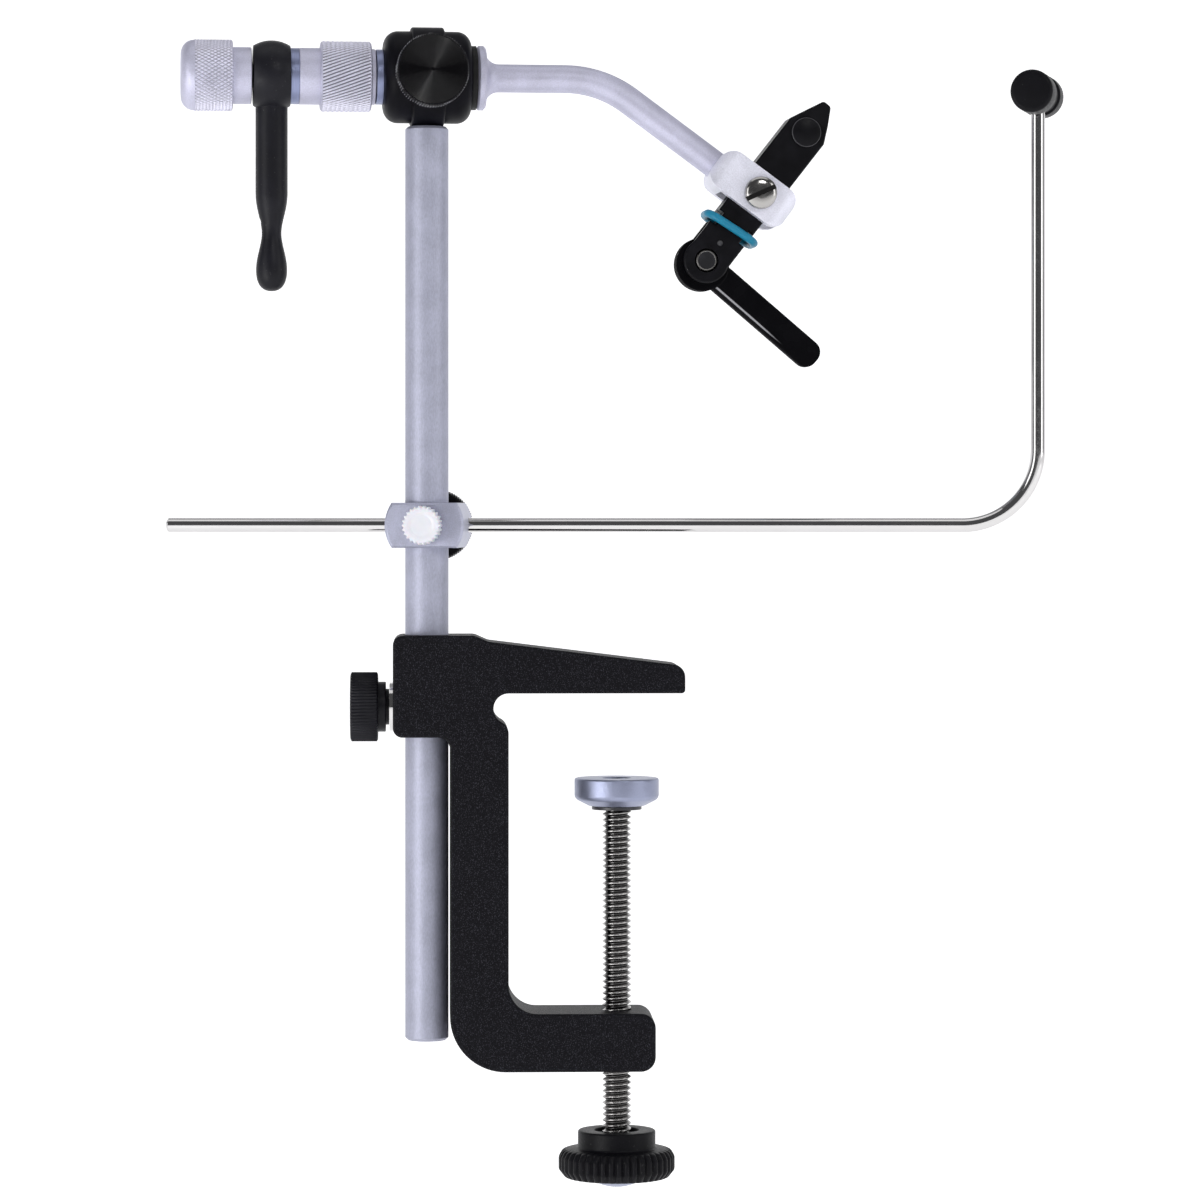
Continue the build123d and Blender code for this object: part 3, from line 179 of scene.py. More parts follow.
class Graph:
    """A node tree in which every node comes from one method."""

    def __init__(self, tree):
        self.tree = tree

    def feed(self, socket, value):
        """Links a value to a socket, or writes a constant on it."""
        if isinstance(value, Val):
            self.tree.links.new(value.socket, socket)
        elif socket.type == "RGBA":
            socket.default_value = (*value, 1.0)
        else:
            socket.default_value = value

    def node(self, kind, output, settings, sockets):
        """Adds a node with its settings and its inputs, and returns one of its outputs."""
        made = self.tree.nodes.new("ShaderNode" + kind)
        for key, value in settings.items():
            setattr(made, key, value)
        for key, value in sockets.items():
            self.feed(made.inputs[key], value)
        return Val(self, made.outputs[output])

    def mix(self, share, first, second):
        """A colour that runs from first at 0 to second at 1."""
        return self.node("Mix", 2, {"data_type": "RGBA"}, {0: share, 6: first, 7: second})

    def seen_rays(self):
        """1 for the rays that see the studio, straight, in a mirror or through glass."""
        seen = [self.node("LightPath", name, {}, {})
                for name in ("Is Camera Ray", "Is Glossy Ray", "Is Transmission Ray")]
        return seen[0].most(seen[1]).most(seen[2])


class Finish(Graph):
    """A material with one Principled shader."""

    def __init__(self, name, **constants):
        self.material = bpy.data.materials.new(name)
        self.material.use_nodes = True
        super().__init__(self.material.node_tree)
        self.shader = self.tree.nodes["Principled BSDF"]
        self.place = self.node("TexCoord", "Object", {}, {})
        self.bent = {}
        for key, value in constants.items():
            self.put(key.replace("_", " "), value)

    def put(self, name, value):
        self.feed(self.shader.inputs[name], value)

    def noise(self, scale, detail=2.0, rough=0.5, stretch=(1, 1, 1)):
        """Noise with its scale in cycles per metre and a stretch for each axis."""
        sized = self.node("Mapping", "Vector", {},
                          {"Vector": self.place, "Scale": [scale * s for s in stretch]})
        return self.node("TexNoise", "Fac", {}, {"Vector": sized, "Scale": 1.0, "Detail": detail,
                                                 "Roughness": rough})

    def reach(self, line, near, far):
        """Runs from 0 to 1 between two distances from a line, in millimetres."""
        away = self.node("VectorMath", "Vector", {"operation": "SUBTRACT"},
                         {0: self.place, 1: line.origin * MM})
        cross = self.node("VectorMath", "Vector", {"operation": "CROSS_PRODUCT"},
                          {0: away, 1: line.along})
        return self.node("VectorMath", "Value", {"operation": "LENGTH"},
                         {0: cross}).ramp(near * MM, far * MM)

    def soften(self, radius):
        """Rounds the shading of sharp edges over a small radius, in metres."""
        self.bent = {"Normal": self.node("Bevel", "Normal", {"samples": 6}, {"Radius": radius})}
        self.put("Normal", self.bent["Normal"])

    def sides(self, way):
        """1 on the faces that look square to a direction, 0 on those that look along it."""
        looks = self.node("TexCoord", "Normal", {}, {})
        same = self.node("VectorMath", "Value", {"operation": "DOT_PRODUCT"}, {0: looks, 1: way})
        return same.ramp(-0.75, -0.45) * (1 - same.ramp(0.45, 0.75))

    def bump(self, height, distance, strength):
        sockets = {"Height": height, "Distance": distance, "Strength": strength, **self.bent}
        self.put("Normal", self.node("Bump", "Normal", {}, sockets))


def times(colour, share):
    return tuple(min(1.0, part * share) for part in colour)


def powder_coat():
    f = Finish("powder_coat", Specular_IOR_Level=0.11)
    grain = f.noise(3600, 3.0, 0.6)
    specks = f.noise(4800, 1.0, 0.4).ramp(0.58, 0.70)
    cloud = f.noise(120)
    dark = f.mix(cloud, (0.0018, 0.0017, 0.0032), (0.0034, 0.0032, 0.0054))
    f.put("Base Color", f.mix(specks * 0.7, dark, (0.050, 0.050, 0.062)))
    f.put("Roughness", grain.ramp(0.25, 0.8, 0.40, 0.62))
    f.soften(0.0003)
    f.bump(grain, 0.00010, 0.8)
    return f.material


def black_metal(name, base, low, high, spec, glint_band=None, fine_bump=0.15, edge=0.00015):
    """Black anodised or oxidised metal, with painted glints: bright grey patches beyond two radii
    from a line, when a line and two radii are given.
    """
    f = Finish(name, Specular_IOR_Level=spec)
    cloud = f.noise(260, 3.0)
    fine = f.noise(6500)
    tone = f.mix(cloud.ramp(0.3, 0.8), base, times(base, 1.9))
    if glint_band:
        # Painted glints: bright grey patches on the outermost radii, the tooth crests
        glints = f.reach(*glint_band) * f.noise(420).ramp(0.46, 0.58)
        tone = f.mix(glints, tone, (0.40, 0.40, 0.43))
    f.put("Base Color", tone)
    f.put("Roughness", (cloud * 0.5 + fine * 0.5).ramp(0.3, 0.7, low, high))
    if edge:
        f.soften(edge)
    f.bump(fine, 0.00002, fine_bump)
    return f.material


def gloss_black():
    """Smooth black lacquer with duller sides, and a painted highlight: a grey line along the
    lever's lower edge.
    """
    f = Finish("gloss_black_steel", Specular_IOR_Level=0.06)
    cloud = f.noise(150)
    dark = f.mix(cloud, (0.0022, 0.0021, 0.0028), (0.0040, 0.0038, 0.0050))
    # Painted highlight: a thin grey line along the lever's rounded lower edge
    painted_highlight = 1 - f.reach(lever_edge_line, 0.12, 0.30)
    f.put("Base Color", f.mix(painted_highlight, dark, (0.36, 0.36, 0.38)))
    f.put("Roughness", cloud.ramp(0.3, 0.7, 0.22, 0.30).most(f.sides(HEAD_FRONT) * 0.75))
    f.soften(0.00025)
    f.bump(cloud, 0.00004, 0.2)
    return f.material


def black_plastic(name, base, low, high, spec):
    f = Finish(name, Specular_IOR_Level=spec)
    pores = f.noise(2600, 3.0, 0.65)
    cloud = f.noise(140)
    dust = f.noise(2100, 0.0).ramp(0.77, 0.84)
    tone = f.mix(cloud.ramp(0.3, 0.7), base, times(base, 1.5))
    f.put("Base Color", f.mix(dust * 0.4, tone, (0.05, 0.05, 0.05)))
    f.put("Roughness", pores.ramp(0.3, 0.7, low, high))
    f.soften(0.0002)
    f.bump(pores, 0.00004, 0.35)
    return f.material


def blasted(name, base, low=0.42, high=0.58, stretch=(1, 1, 1), grain_size=3800, metal=0.5,
            groove=None):
    """Bead-blasted metal, with painted shade in the grooves that a line and two radii give."""
    f = Finish(name, Metallic=metal, Specular_IOR_Level=0.5)
    grain = f.noise(grain_size, 3.0, 0.7, stretch)
    fine = f.noise(grain_size * 2.1, 2.0, 0.6)
    cloud = f.noise(170, 3.0)
    shade = grain * 0.6 + cloud * 0.4
    tone = f.mix(shade.ramp(0.30, 0.72), times(base, 0.76), times(base, 1.06))
    if groove:
        # Painted shade: darker towards the floors of the grooves
        tone = f.mix(f.reach(*groove), times(base, 0.17), tone)
    f.put("Base Color", tone)
    f.put("Roughness", shade.ramp(0.3, 0.7, low, high))
    f.soften(0.00018)
    f.bump(grain + fine * 0.5, 0.000035, 0.6)
    return f.material


def polished(name, base, low, high, groove=None):
    """Bright metal, with painted shade in the grooves that a line and two radii give."""
    f = Finish(name, Metallic=1.0)
    streak = f.noise(900, 3.0, 0.6)
    cloud = f.noise(90)
    tone = f.mix(cloud, times(base, 0.9), base)
    if groove:
        # Painted shade: darker towards the floors of the grooves
        tone = f.mix(f.reach(*groove), times(base, 0.16), tone)
    f.put("Base Color", tone)
    f.put("Roughness", (streak * 0.6 + cloud * 0.4).ramp(0.3, 0.7, low, high))
    f.bump(streak, 0.000006, 0.3)
    return f.material


def nylon():
    f = Finish("white_nylon", Roughness=0.38, Subsurface_Weight=0.25, Subsurface_Scale=0.0012)
    f.put("Base Color", f.mix(f.noise(500), (0.76, 0.77, 0.82), (0.84, 0.84, 0.88)))
    f.bump(f.noise(2200), 0.00003, 0.3)
    return f.material


def rubber():
    f = Finish("teal_rubber", Specular_IOR_Level=0.35)
    cloud = f.noise(900, 3.0)
    f.put("Base Color", f.mix(cloud, (0.003, 0.170, 0.290), (0.008, 0.240, 0.390)))
    f.put("Roughness", cloud.ramp(0.3, 0.7, 0.32, 0.50))
    f.bump(f.noise(4000), 0.00002, 0.3)
    return f.material


RIM_BLACK = (0.0028, 0.0027, 0.0036)
COAT = powder_coat()
ANODISED = black_metal("black_anodised", (0.0030, 0.0029, 0.0040), 0.28, 0.40, 0.15)
# The brake knob's and rod knob's rims carry painted glints on their tooth crests
BRAKE_RIM = black_metal("worn_brake_rim", RIM_BLACK, 0.40, 0.52, 0.05, (brake_line, 7.70, 7.82),
                        edge=0.0)
CRADLE_RIM = black_metal("worn_cradle_rim", RIM_BLACK, 0.40, 0.52, 0.05,
                         (rod_lock_line, 7.70, 7.82), edge=0.0)
BARREL = black_metal("barrel_anodised", (0.0026, 0.0025, 0.0042), 0.36, 0.50, 0.07)
KNOB_FACE = black_metal("turned_knob_face", (0.0016, 0.0015, 0.0020), 0.11, 0.15, 0.32,
                        fine_bump=0.0)
JAW_STEEL = black_metal("black_jaw_steel", (0.0026, 0.0025, 0.0036), 0.30, 0.44, 0.12)
PIN_STEEL = black_metal("cam_pin_steel", (0.011, 0.011, 0.013), 0.30, 0.42, 0.25)
MILLED_STEEL = black_metal("milled_steel", (0.036, 0.036, 0.040), 0.30, 0.42, 0.40)
GLOSS_STEEL = gloss_black()
PLASTIC = black_plastic("black_plastic", (0.0030, 0.0029, 0.0042), 0.36, 0.52, 0.12)
CRANK = black_plastic("crank_plastic", (0.0062, 0.0061, 0.0090), 0.34, 0.50, 0.18)
ACETAL = black_plastic("black_acetal", (0.004, 0.004, 0.004), 0.45, 0.60, 0.22)
ALLOY = blasted("blasted_aluminium", (0.60, 0.595, 0.735))
# Painted light: a lighter copy of the blasted aluminium, for the holder's brightly lit front
HOLDER_PAINTED_LIGHT = blasted("holder_aluminium", (0.84, 0.84, 0.95), 0.34, 0.50, metal=0.4)
BRACKET = blasted("bracket_aluminium", (0.50, 0.51, 0.64), 0.34, 0.48)
PAD = blasted("pad_aluminium", (0.32, 0.345, 0.475), 0.30, 0.44, stretch=(1, 1, 6), metal=0.75)
# The knurls' grooves get painted shade
KNURL = blasted("knurled_aluminium", (0.80, 0.79, 0.92), groove=(rotor_line, 7.33, 7.60))
STEM_STEEL = blasted("stem_steel", (0.435, 0.445, 0.555), 0.42, 0.56, stretch=(1, 1, 0.35),
                     grain_size=3400, metal=0.35)
BLUE_GREY = blasted("blue_grey_metal", (0.26, 0.29, 0.45), 0.30, 0.45, stretch=(1, 0.05, 0.05),
                    grain_size=5200, metal=0.8)
POLISHED = polished("polished_steel", (0.62, 0.61, 0.61), 0.05, 0.13)
SCREW_HEAD = polished("screw_head_steel", (0.40, 0.39, 0.38), 0.10, 0.18)
# Painted shade: a dark steel for the walls and floor of the pivot screw's slot
SCREW_SLOT_SHADE = polished("screw_slot_steel", (0.035, 0.034, 0.034), 0.30, 0.45)
THREAD = polished("thread_steel", (0.30, 0.29, 0.28), 0.22, 0.34)
# The thread's roots get painted shade
SCREW_STEEL = polished("screw_thread_steel", (0.43, 0.42, 0.415), 0.20, 0.30,
                       (spindle_line, 2.45, 3.12))
NYLON = nylon()
RUBBER = rubber()

SLOT_FINISH = {
    "black_powder_coat": COAT,
    "black_anodised": ANODISED,
    "black_steel": JAW_STEEL,
    "gloss_black_steel": GLOSS_STEEL,
    "black_plastic": PLASTIC,
    "black_acetal": ACETAL,
    "blasted_aluminium": ALLOY,
    "blue_grey_metal": BLUE_GREY,
    "stem_steel": STEM_STEEL,
    "polished_steel": POLISHED,
    "thread_steel": THREAD,
    "white_nylon": NYLON,
    "teal_rubber": RUBBER,
}
NODE_FINISH = {
    "head_barrel": BARREL,
    "crank_handle": CRANK,
    "jaw_holder": HOLDER_PAINTED_LIGHT,
    "cradle_bracket": BRACKET,
    "collar_set_screw": THREAD,
    "clamp_pad_retainer": MILLED_STEEL,
    "handwheel_cap": PAD,
}
node_slot = {part["node"]: part["material_slot"] for part in frame["record"]["subparts"]}
for node_name, node_object in nodes.items():
    node_object.data.materials.clear()
    slot_finish = SLOT_FINISH[node_slot[node_name]]
    node_object.data.materials.append(NODE_FINISH.get(node_name, slot_finish))


def round_corner(bm, corner, radius, arc_steps):
    """Rounds a corner of a wire outline."""
    back, ahead = [edge.other_vert(corner).co - corner.co for edge in corner.link_edges]
    tangent = radius / math.tan(back.angle(ahead) / 2)
    bmesh.ops.bevel(bm, geom=[corner], offset=tangent, offset_type="OFFSET", affect="VERTICES",
                    segments=arc_steps, profile=0.5, material=-1)


def turned(line, outline, steps, arc_steps=5, climb=0.0):
    """Spins an outline of (along, radius, rounding, cuts) points about a line.

    Rounding is the radius of the corner at a point, and cuts divide the edge that follows it.
    Climb is how far a full turn rises along the line. One sector is spun and then doubled until
    the turn is full, because a long spin is slow.
    """
    bm = bmesh.new()
    corners = [bm.verts.new(line.point(point[0], point[1])) for point in outline]
    edges = [bm.edges.new(pair) for pair in zip(corners, corners[1:])]
    for point, corner in zip(outline, corners):
        if len(point) > 2 and point[2]:
            round_corner(bm, corner, point[2], arc_steps)
    for point, edge in zip(outline, edges):
        if len(point) > 3:
            bmesh.ops.subdivide_edges(bm, edges=[edge], cuts=point[3])
    share = 1 / SECTORS
    bmesh.ops.spin(bm, geom=bm.verts[:] + bm.edges[:], cent=line.origin, axis=line.along,
                   dvec=line.along * (climb / steps), angle=FULL * share, steps=steps // SECTORS)
    while share < 1:
        copied = bmesh.ops.duplicate(bm, geom=bm.verts[:] + bm.edges[:] + bm.faces[:])["geom"]
        verts = [part for part in copied if isinstance(part, bmesh.types.BMVert)]
        bmesh.ops.rotate(bm, verts=verts, cent=line.origin,
                         matrix=Matrix.Rotation(FULL * share, 3, line.along))
        bmesh.ops.translate(bm, verts=verts, vec=line.along * (climb * share))
        share *= 2
    bmesh.ops.remove_doubles(bm, verts=bm.verts, dist=MERGE)
    return bm


def press(bm, line, relief, depth_at):
    """Presses grooves into a turned skin.

    depth_at(along, radius) is the depth of a groove, and relief(angle, along) runs from 0 at a
    crest to 1 at a groove's floor.
    """
    for vert in bm.verts:
        along, radius, angle = line.find(vert.co)
        depth = depth_at(along, radius)
        if depth:
            vert.co = line.point(along, radius - depth * relief(angle, along), angle)


def mark(bm, line, test):
    """Gives the second finish to the faces whose place on a line passes a test."""
    for face in bm.faces:
        along, radius, angle = line.find(face.calc_center_median())
        face.material_index = int(test(along, radius))


def join(bm, other):
    """Adds a second mesh to a first."""
    carrier = bpy.data.meshes.new("carrier")
    other.to_mesh(carrier)
    other.free()
    bm.from_mesh(carrier)
    bpy.data.meshes.remove(carrier)


def cut_flat(bm, point, outward):
    """Cuts off all that lies beyond a plane, and returns the face that closes the cut."""
    everything = bm.verts[:] + bm.edges[:] + bm.faces[:]
    cut = bmesh.ops.bisect_plane(bm, geom=everything, plane_co=point, plane_no=outward,
                                 clear_outer=True)
    rim = [part for part in cut["geom_cut"] if isinstance(part, bmesh.types.BMEdge)]
    return bmesh.ops.edgenet_fill(bm, edges=rim)["faces"]


def ring_at(bm, point, direction, radius, steps):
    """A circle of edges at a point, square to a direction."""
    turn = Vector(direction).to_track_quat("Z", "Y").to_matrix().to_4x4()
    bmesh.ops.create_circle(bm, segments=steps, radius=radius,
                            matrix=Matrix.Translation(point) @ turn)
    return bm.edges[:]


def corner_verts(edges):
    found = []
    for edge in edges:
        for vert in edge.verts:
            if vert not in found:
                found.append(vert)
    return found


def draw_out(bm, edges, offset):
    """Extrudes a ring of edges by an offset, and returns the ring at the far end."""
    made = bmesh.ops.extrude_edge_only(bm, edges=edges)["geom"]
    verts = [part for part in made if isinstance(part, bmesh.types.BMVert)]
    bmesh.ops.translate(bm, verts=verts, vec=offset)
    far = set(verts)
    return [part for part in made
            if isinstance(part, bmesh.types.BMEdge) and far.issuperset(part.verts)]


def draw_round(bm, edges, centre, axis, steps):
    """Spins a ring of edges by a quarter turn, and returns the ring at the far end."""
    made = bmesh.ops.spin(bm, geom=corner_verts(edges) + edges, cent=centre, axis=axis,
                          angle=QUARTER, steps=steps)["geom_last"]
    return [part for part in made if isinstance(part, bmesh.types.BMEdge)]


def straight_teeth(count):
    """Pointed teeth along the axis."""
    def relief(angle, along):
        return abs(2 * ((angle * count / FULL) % 1.0) - 1)
    return relief


def round_ribs(count, power):
    """Rounded ribs along the axis, with narrower grooves at a higher power."""
    def relief(angle, along):
        return (0.5 - 0.5 * math.cos(angle * count)) ** power
    return relief


def diamonds(count, pitch, start, second):
    """Two crossing sets of grooves; second is how deep the other set goes."""
    def relief(angle, along):
        around = angle * count / FULL
        forward = (along - start) / pitch
        one = 1 - abs(2 * ((around + forward) % 1.0) - 1)
        two = 1 - second * abs(2 * ((around - forward) % 1.0) - 1)
        return 1 - min(1.0, 1.2 * min(one, two))
    return relief


def piece(name, bm, body, node, finish, sharp=32, second=None):
    """Turns a bmesh in millimetres into an object that rides on a body and shows for a node."""
    bmesh.ops.remove_doubles(bm, verts=bm.verts, dist=MERGE)
    bmesh.ops.recalc_face_normals(bm, faces=bm.faces)
    bmesh.ops.scale(bm, verts=bm.verts, vec=(MM, MM, MM))
    mesh = bpy.data.meshes.new(name)
    bm.to_mesh(mesh)
    bm.free()
    mesh.shade_smooth()
    mesh.set_sharp_from_angle(angle=math.radians(sharp))
    mesh.materials.append(finish)
    mesh.materials.append(second or finish)
    obj = bpy.data.objects.new(name, mesh)
    bpy.context.scene.collection.objects.link(obj)
    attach(obj, body)
    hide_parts(node)


# Clamp screw: a helical thread below the pad, with a plain spigot into it
THREAD_PITCH = 1.27
THREAD_ROOT = 2.42
THREAD_CREST = 3.17
THREAD_FORM = ((0.0, 0.0), (0.12, 0.0), (0.24, 0.32), (0.36, 0.66), (0.46, 0.96), (0.50, 1.0),
               (0.60, 1.0), (0.64, 0.96), (0.74, 0.66), (0.86, 0.32))
SCREW_TOP = -25.85
SCREW_END = -101.95
SPIGOT_TOP = -19.65
SPIGOT_R = 2.0
SPIGOT_SUNK = 0.3
thread_turns = math.ceil((SCREW_TOP - SCREW_END) / THREAD_PITCH)
thread_outline = []
for turn in range(-2, thread_turns + 2):
    for share, rise in THREAD_FORM:
        thread_outline.append((SCREW_END + (turn + share) * THREAD_PITCH,
                               THREAD_ROOT + (THREAD_CREST - THREAD_ROOT) * rise))
clamp_screw = turned(spindle_line, thread_outline, 56, climb=THREAD_PITCH)
cut_flat(clamp_screw, UP * SCREW_TOP, UP)
cut_flat(clamp_screw, UP * SCREW_END, -UP)
join(clamp_screw, turned(spindle_line,
                         [(SCREW_TOP - SPIGOT_SUNK, 0), (SCREW_TOP - SPIGOT_SUNK, SPIGOT_R),
                          (SPIGOT_TOP, SPIGOT_R, 0.3), (SPIGOT_TOP, 0)], 48))
piece("clamp_screw_thread", clamp_screw, "clamp_spindle", "clamp_screw", SCREW_STEEL)

# Clamp pad: turned, with a rounded lower edge and a well on top
PAD_TOP = -18.95
pad_outline = [(-6.1, 2.05), (-6.1, 6.2, 0.5), (-4.5, 9.3, 1.3), (0, 9.3, 0.45), (0, 3.2, 0.25),
               (-2.2, 3.2, 0.15), (-2.2, 2.05), (-6.1, 2.05)]
clamp_pad = turned(Line(UP * PAD_TOP, UP, RIGHT), pad_outline, 128, arc_steps=7)
piece("clamp_pad_turned", clamp_pad, "clamp_foot", "clamp_pad", PAD)

# Handwheel: moulded ribs that fade over the rounded edges
RIB_COUNT = 44
RIB_DEPTH = 0.62
RIB_START_R = 10.6
RIB_FADE = 1.8
WHEEL_TOP = -96.45
wheel_outline = [(-5.5, 3.15), (-0.9, 3.15), (-0.9, 4.9, 0.2), (0, 4.9, 0.25), (0, 8.55, 0.45),
                 (-3.95, 8.55, 0.5), (-4.1, 10.9), (-4.4, 12.0, 0.9), (-5.8, 12.8, 1.2),
                 (-8.6, 12.8, 1.0), (-10.35, 11.4, 0.7), (-10.35, 6.5, 0.2), (-8.95, 6.5),
                 (-8.95, 3.15), (-5.5, 3.15)]
wheel_line = Line(UP * WHEEL_TOP, UP, RIGHT)
handwheel = turned(wheel_line, wheel_outline, RIB_COUNT * 10)


def rib_depth(along, radius):
    return RIB_DEPTH * min(1.0, max(0.0, (radius - RIB_START_R) / RIB_FADE))


press(handwheel, wheel_line, round_ribs(RIB_COUNT, 2.2), rib_depth)
piece("clamp_handwheel_ribbed", handwheel, "clamp_spindle", "clamp_handwheel", PLASTIC)

# Knurls of the end knob and the drag collar
KNURL_DEPTH = 0.46
KNURL_FLOOR_R = 7.0
SLACK = 0.01


def knurled(name, body, node, outline, count, pitch, start, end, second):
    """A turned piece on the rotor's axis, with a knurled band from start to end."""
    def in_band(along, radius):
        return start - SLACK < along < end + SLACK and radius > KNURL_FLOOR_R

    def band_depth(along, radius):
        return KNURL_DEPTH * in_band(along, radius)

    bm = turned(rotor_line, outline, count * 8, arc_steps=6)
    press(bm, rotor_line, diamonds(count, pitch, start, second), band_depth)
    mark(bm, rotor_line, in_band)
    piece(name, bm, body, node, ALLOY, second=KNURL)


# Knurled end knob with a domed end, and the drag collar with its shoulder and neck
knurled("end_knob_knurled", "end_nut", "end_knob",
        [(45.65, 0), (45.65, 2.7), (38.55, 2.7), (38.55, 6.22, 0.25), (42.6, 6.22), (42.65, 7.4),
         (42.9, 7.85, 0, 43), (50.9, 7.85), (50.95, 7.72), (53.95, 7.72, 2.9), (53.95, 0)],
        count=56, pitch=1.44, start=42.9, end=50.9, second=1.0)
knurled("drag_collar_knurled", "rotor", "drag_collar",
        [(28.15, 3.97), (11.45, 3.97), (11.45, 6.1, 0.2), (12.35, 6.1), (12.35, 7.3), (12.6, 7.6),
         (12.75, 7.75, 0, 64), (23.15, 7.75), (23.2, 7.6), (23.45, 7.3), (23.45, 6.2),
         (28.15, 6.2, 0.25), (28.15, 3.97)],
        count=62, pitch=2.0, start=12.75, end=23.15, second=0.55)

# Brake knob and rod knob: fine straight teeth and a face turned in fine rings
KNOB_NECK_R = 4.5
KNOB_R = 7.9
KNOB_TEETH = 84
TOOTH_DEPTH = 0.42
EDGE_TOOTH_DEPTH = 0.26
FACE_R = KNOB_R - 0.50
FACE_MIDDLE_R = 0.25
FACE_RING = 0.12
FACE_RING_DEPTH = 0.036


def toothed_knob(name, body, node, rim_finish, line, neck, base, face):
    """A turned knob, with its neck's end, its base and its face at places along a line."""
    outline = [(neck, 0), (neck, KNOB_NECK_R, 0.15), (base, KNOB_NECK_R), (base, KNOB_R - 0.75),
               (base + 0.12, KNOB_R - 0.5), (base + 0.5, KNOB_R), (face - 0.32, KNOB_R),
               (face - 0.06, KNOB_R - 0.22)]
    for i in range(int((FACE_R - FACE_MIDDLE_R) / FACE_RING)):
        outline.append((face - FACE_RING_DEPTH * (i % 2), FACE_R - FACE_RING * i))
    outline.append((face, 0))

    def tooth_depth(along, radius):
        if base + 0.4 < along < face - 0.3:
            return TOOTH_DEPTH
        at_edge = radius > FACE_R + 0.02 and along > face - 0.1
        return EDGE_TOOTH_DEPTH if at_edge else 0.0

    bm = turned(line, outline, KNOB_TEETH * 4)
    press(bm, line, straight_teeth(KNOB_TEETH), tooth_depth)
    mark(bm, line, lambda along, radius: along > face - 0.05 and radius < FACE_R)
    piece(name, bm, body, node, rim_finish, sharp=8, second=KNOB_FACE)


toothed_knob("brake_knob_toothed", "brake", "brake_knob", BRAKE_RIM, brake_line,
             neck=11.8, base=13.2, face=19.2)
toothed_knob("cradle_rod_knob_toothed", "rod_lock", "cradle_rod_knob", CRADLE_RIM, rod_lock_line,
             neck=15.1, base=21.6, face=27.6)

# Stem lock knob: a collar, straight teeth and a dished end
LOCK_TEETH = 68
LOCK_TOOTH_DEPTH = 0.28
LOCK_TOOTH_R = 7.4
LOCK_EDGE_DEPTH = 0.1
LOCK_EDGE_R = 7.2
LOCK_EDGE_START = 58
lock_knob = turned(stem_lock_line,
                   [(50.1, 0), (50.1, 3.95, 0.1), (50.8, 3.95), (50.8, 5.5, 0.2), (52.5, 5.5),
                    (52.5, 6.9), (52.52, 7.15), (52.75, 7.62), (58.3, 7.62), (58.52, 7.25),
                    (58.6, 6.9), (58.6, 4.4, 0.3), (58.1, 4.0, 0.2), (58.1, 0)], LOCK_TEETH * 4)


def lock_depth(along, radius):
    if radius > LOCK_TOOTH_R:
        return LOCK_TOOTH_DEPTH
    return LOCK_EDGE_DEPTH if radius > LOCK_EDGE_R and along > LOCK_EDGE_START else 0.0


press(lock_knob, stem_lock_line, straight_teeth(LOCK_TEETH), lock_depth)
piece("stem_lock_knob_toothed", lock_knob, "stem_lock", "stem_lock_knob", CRANK,
      sharp=50)

# White thumb screw with a scalloped rim and a dished face
SCALLOPS = 26
SCALLOP_DEPTH = 0.40
SCALLOP_START = 7.0
SCALLOP_START_R = 3.2
SCALLOP_FADE = 0.9
thumb_screw = turned(thumb_line,
                     [(5.07, 0), (5.07, 2.0, 0.1), (6.6, 2.0), (6.6, 2.8, 0.1), (7.5, 2.8),
                      (7.5, 4.3, 0.35), (12.9, 4.3, 0.5), (12.9, 2.9, 0.3), (12.6, 2.3, 0.3),
                      (12.6, 0)], SCALLOPS * 12)


def scallop_depth(along, radius):
    if along < SCALLOP_START:
        return 0.0
    return SCALLOP_DEPTH * min(1.0, max(0.0, (radius - SCALLOP_START_R) / SCALLOP_FADE))


press(thumb_screw, thumb_line, round_ribs(SCALLOPS, 0.8), scallop_depth)
piece("cradle_stem_screw_scalloped", thumb_screw, "cradle_lock", "cradle_stem_screw", NYLON)

# Bent polished rod: a chamfered end, a long run, a bend and an upright
ROD_R = 3.175 / 2
ROD_BEND = 16.5
ROD_LEFT = 58.4
ROD_RISE = 96.3
ROD_CHAMFER = 0.4
ROD_SIDES = 48
ROD_BEND_STEPS = 40
rod_start = ROD_POINT - TO_RIGHT * ROD_LEFT
rod = bmesh.new()
rod_ring = ring_at(rod, rod_start - TO_RIGHT * ROD_CHAMFER, TO_RIGHT, ROD_R - ROD_CHAMFER,
                   ROD_SIDES)
bmesh.ops.edgeloop_fill(rod, edges=rod_ring)
rod_ring = draw_out(rod, rod_ring, TO_RIGHT * ROD_CHAMFER)
for vert in corner_verts(rod_ring):
    vert.co = rod_start + (vert.co - rod_start).normalized() * ROD_R
bend_start = ROD_CORNER - TO_RIGHT * ROD_BEND
rod_ring = draw_out(rod, rod_ring, bend_start - rod_start)
rod_ring = draw_round(rod, rod_ring, bend_start + UP * ROD_BEND, TO_RIGHT.cross(UP),
                      ROD_BEND_STEPS)
rod_ring = draw_out(rod, rod_ring, UP * (ROD_RISE - ROD_BEND))
bmesh.ops.edgeloop_fill(rod, edges=rod_ring)
piece("cradle_rod_polished", rod, "cradle_arm", "cradle_rod", POLISHED)

# Peg on the rod's top, with a shallow waist
peg_line = Line((ROD_CORNER.x, ROD_CORNER.y, PEG_Z),
                (math.sin(PEG_TURN), -math.cos(PEG_TURN), 0), UP)
peg = turned(peg_line, [(-7.7, 0), (-7.7, 4.7, 0.9), (-2.0, 4.7, 0.25), (-2.0, 4.2, 0.2),
                        (3.2, 4.2, 0.2), (3.2, 4.7, 0.25), (9.6, 4.7, 0.9), (9.6, 0)], 96,
             arc_steps=6)
piece("cradle_peg_turned", peg, "cradle_arm", "cradle_peg", PLASTIC)

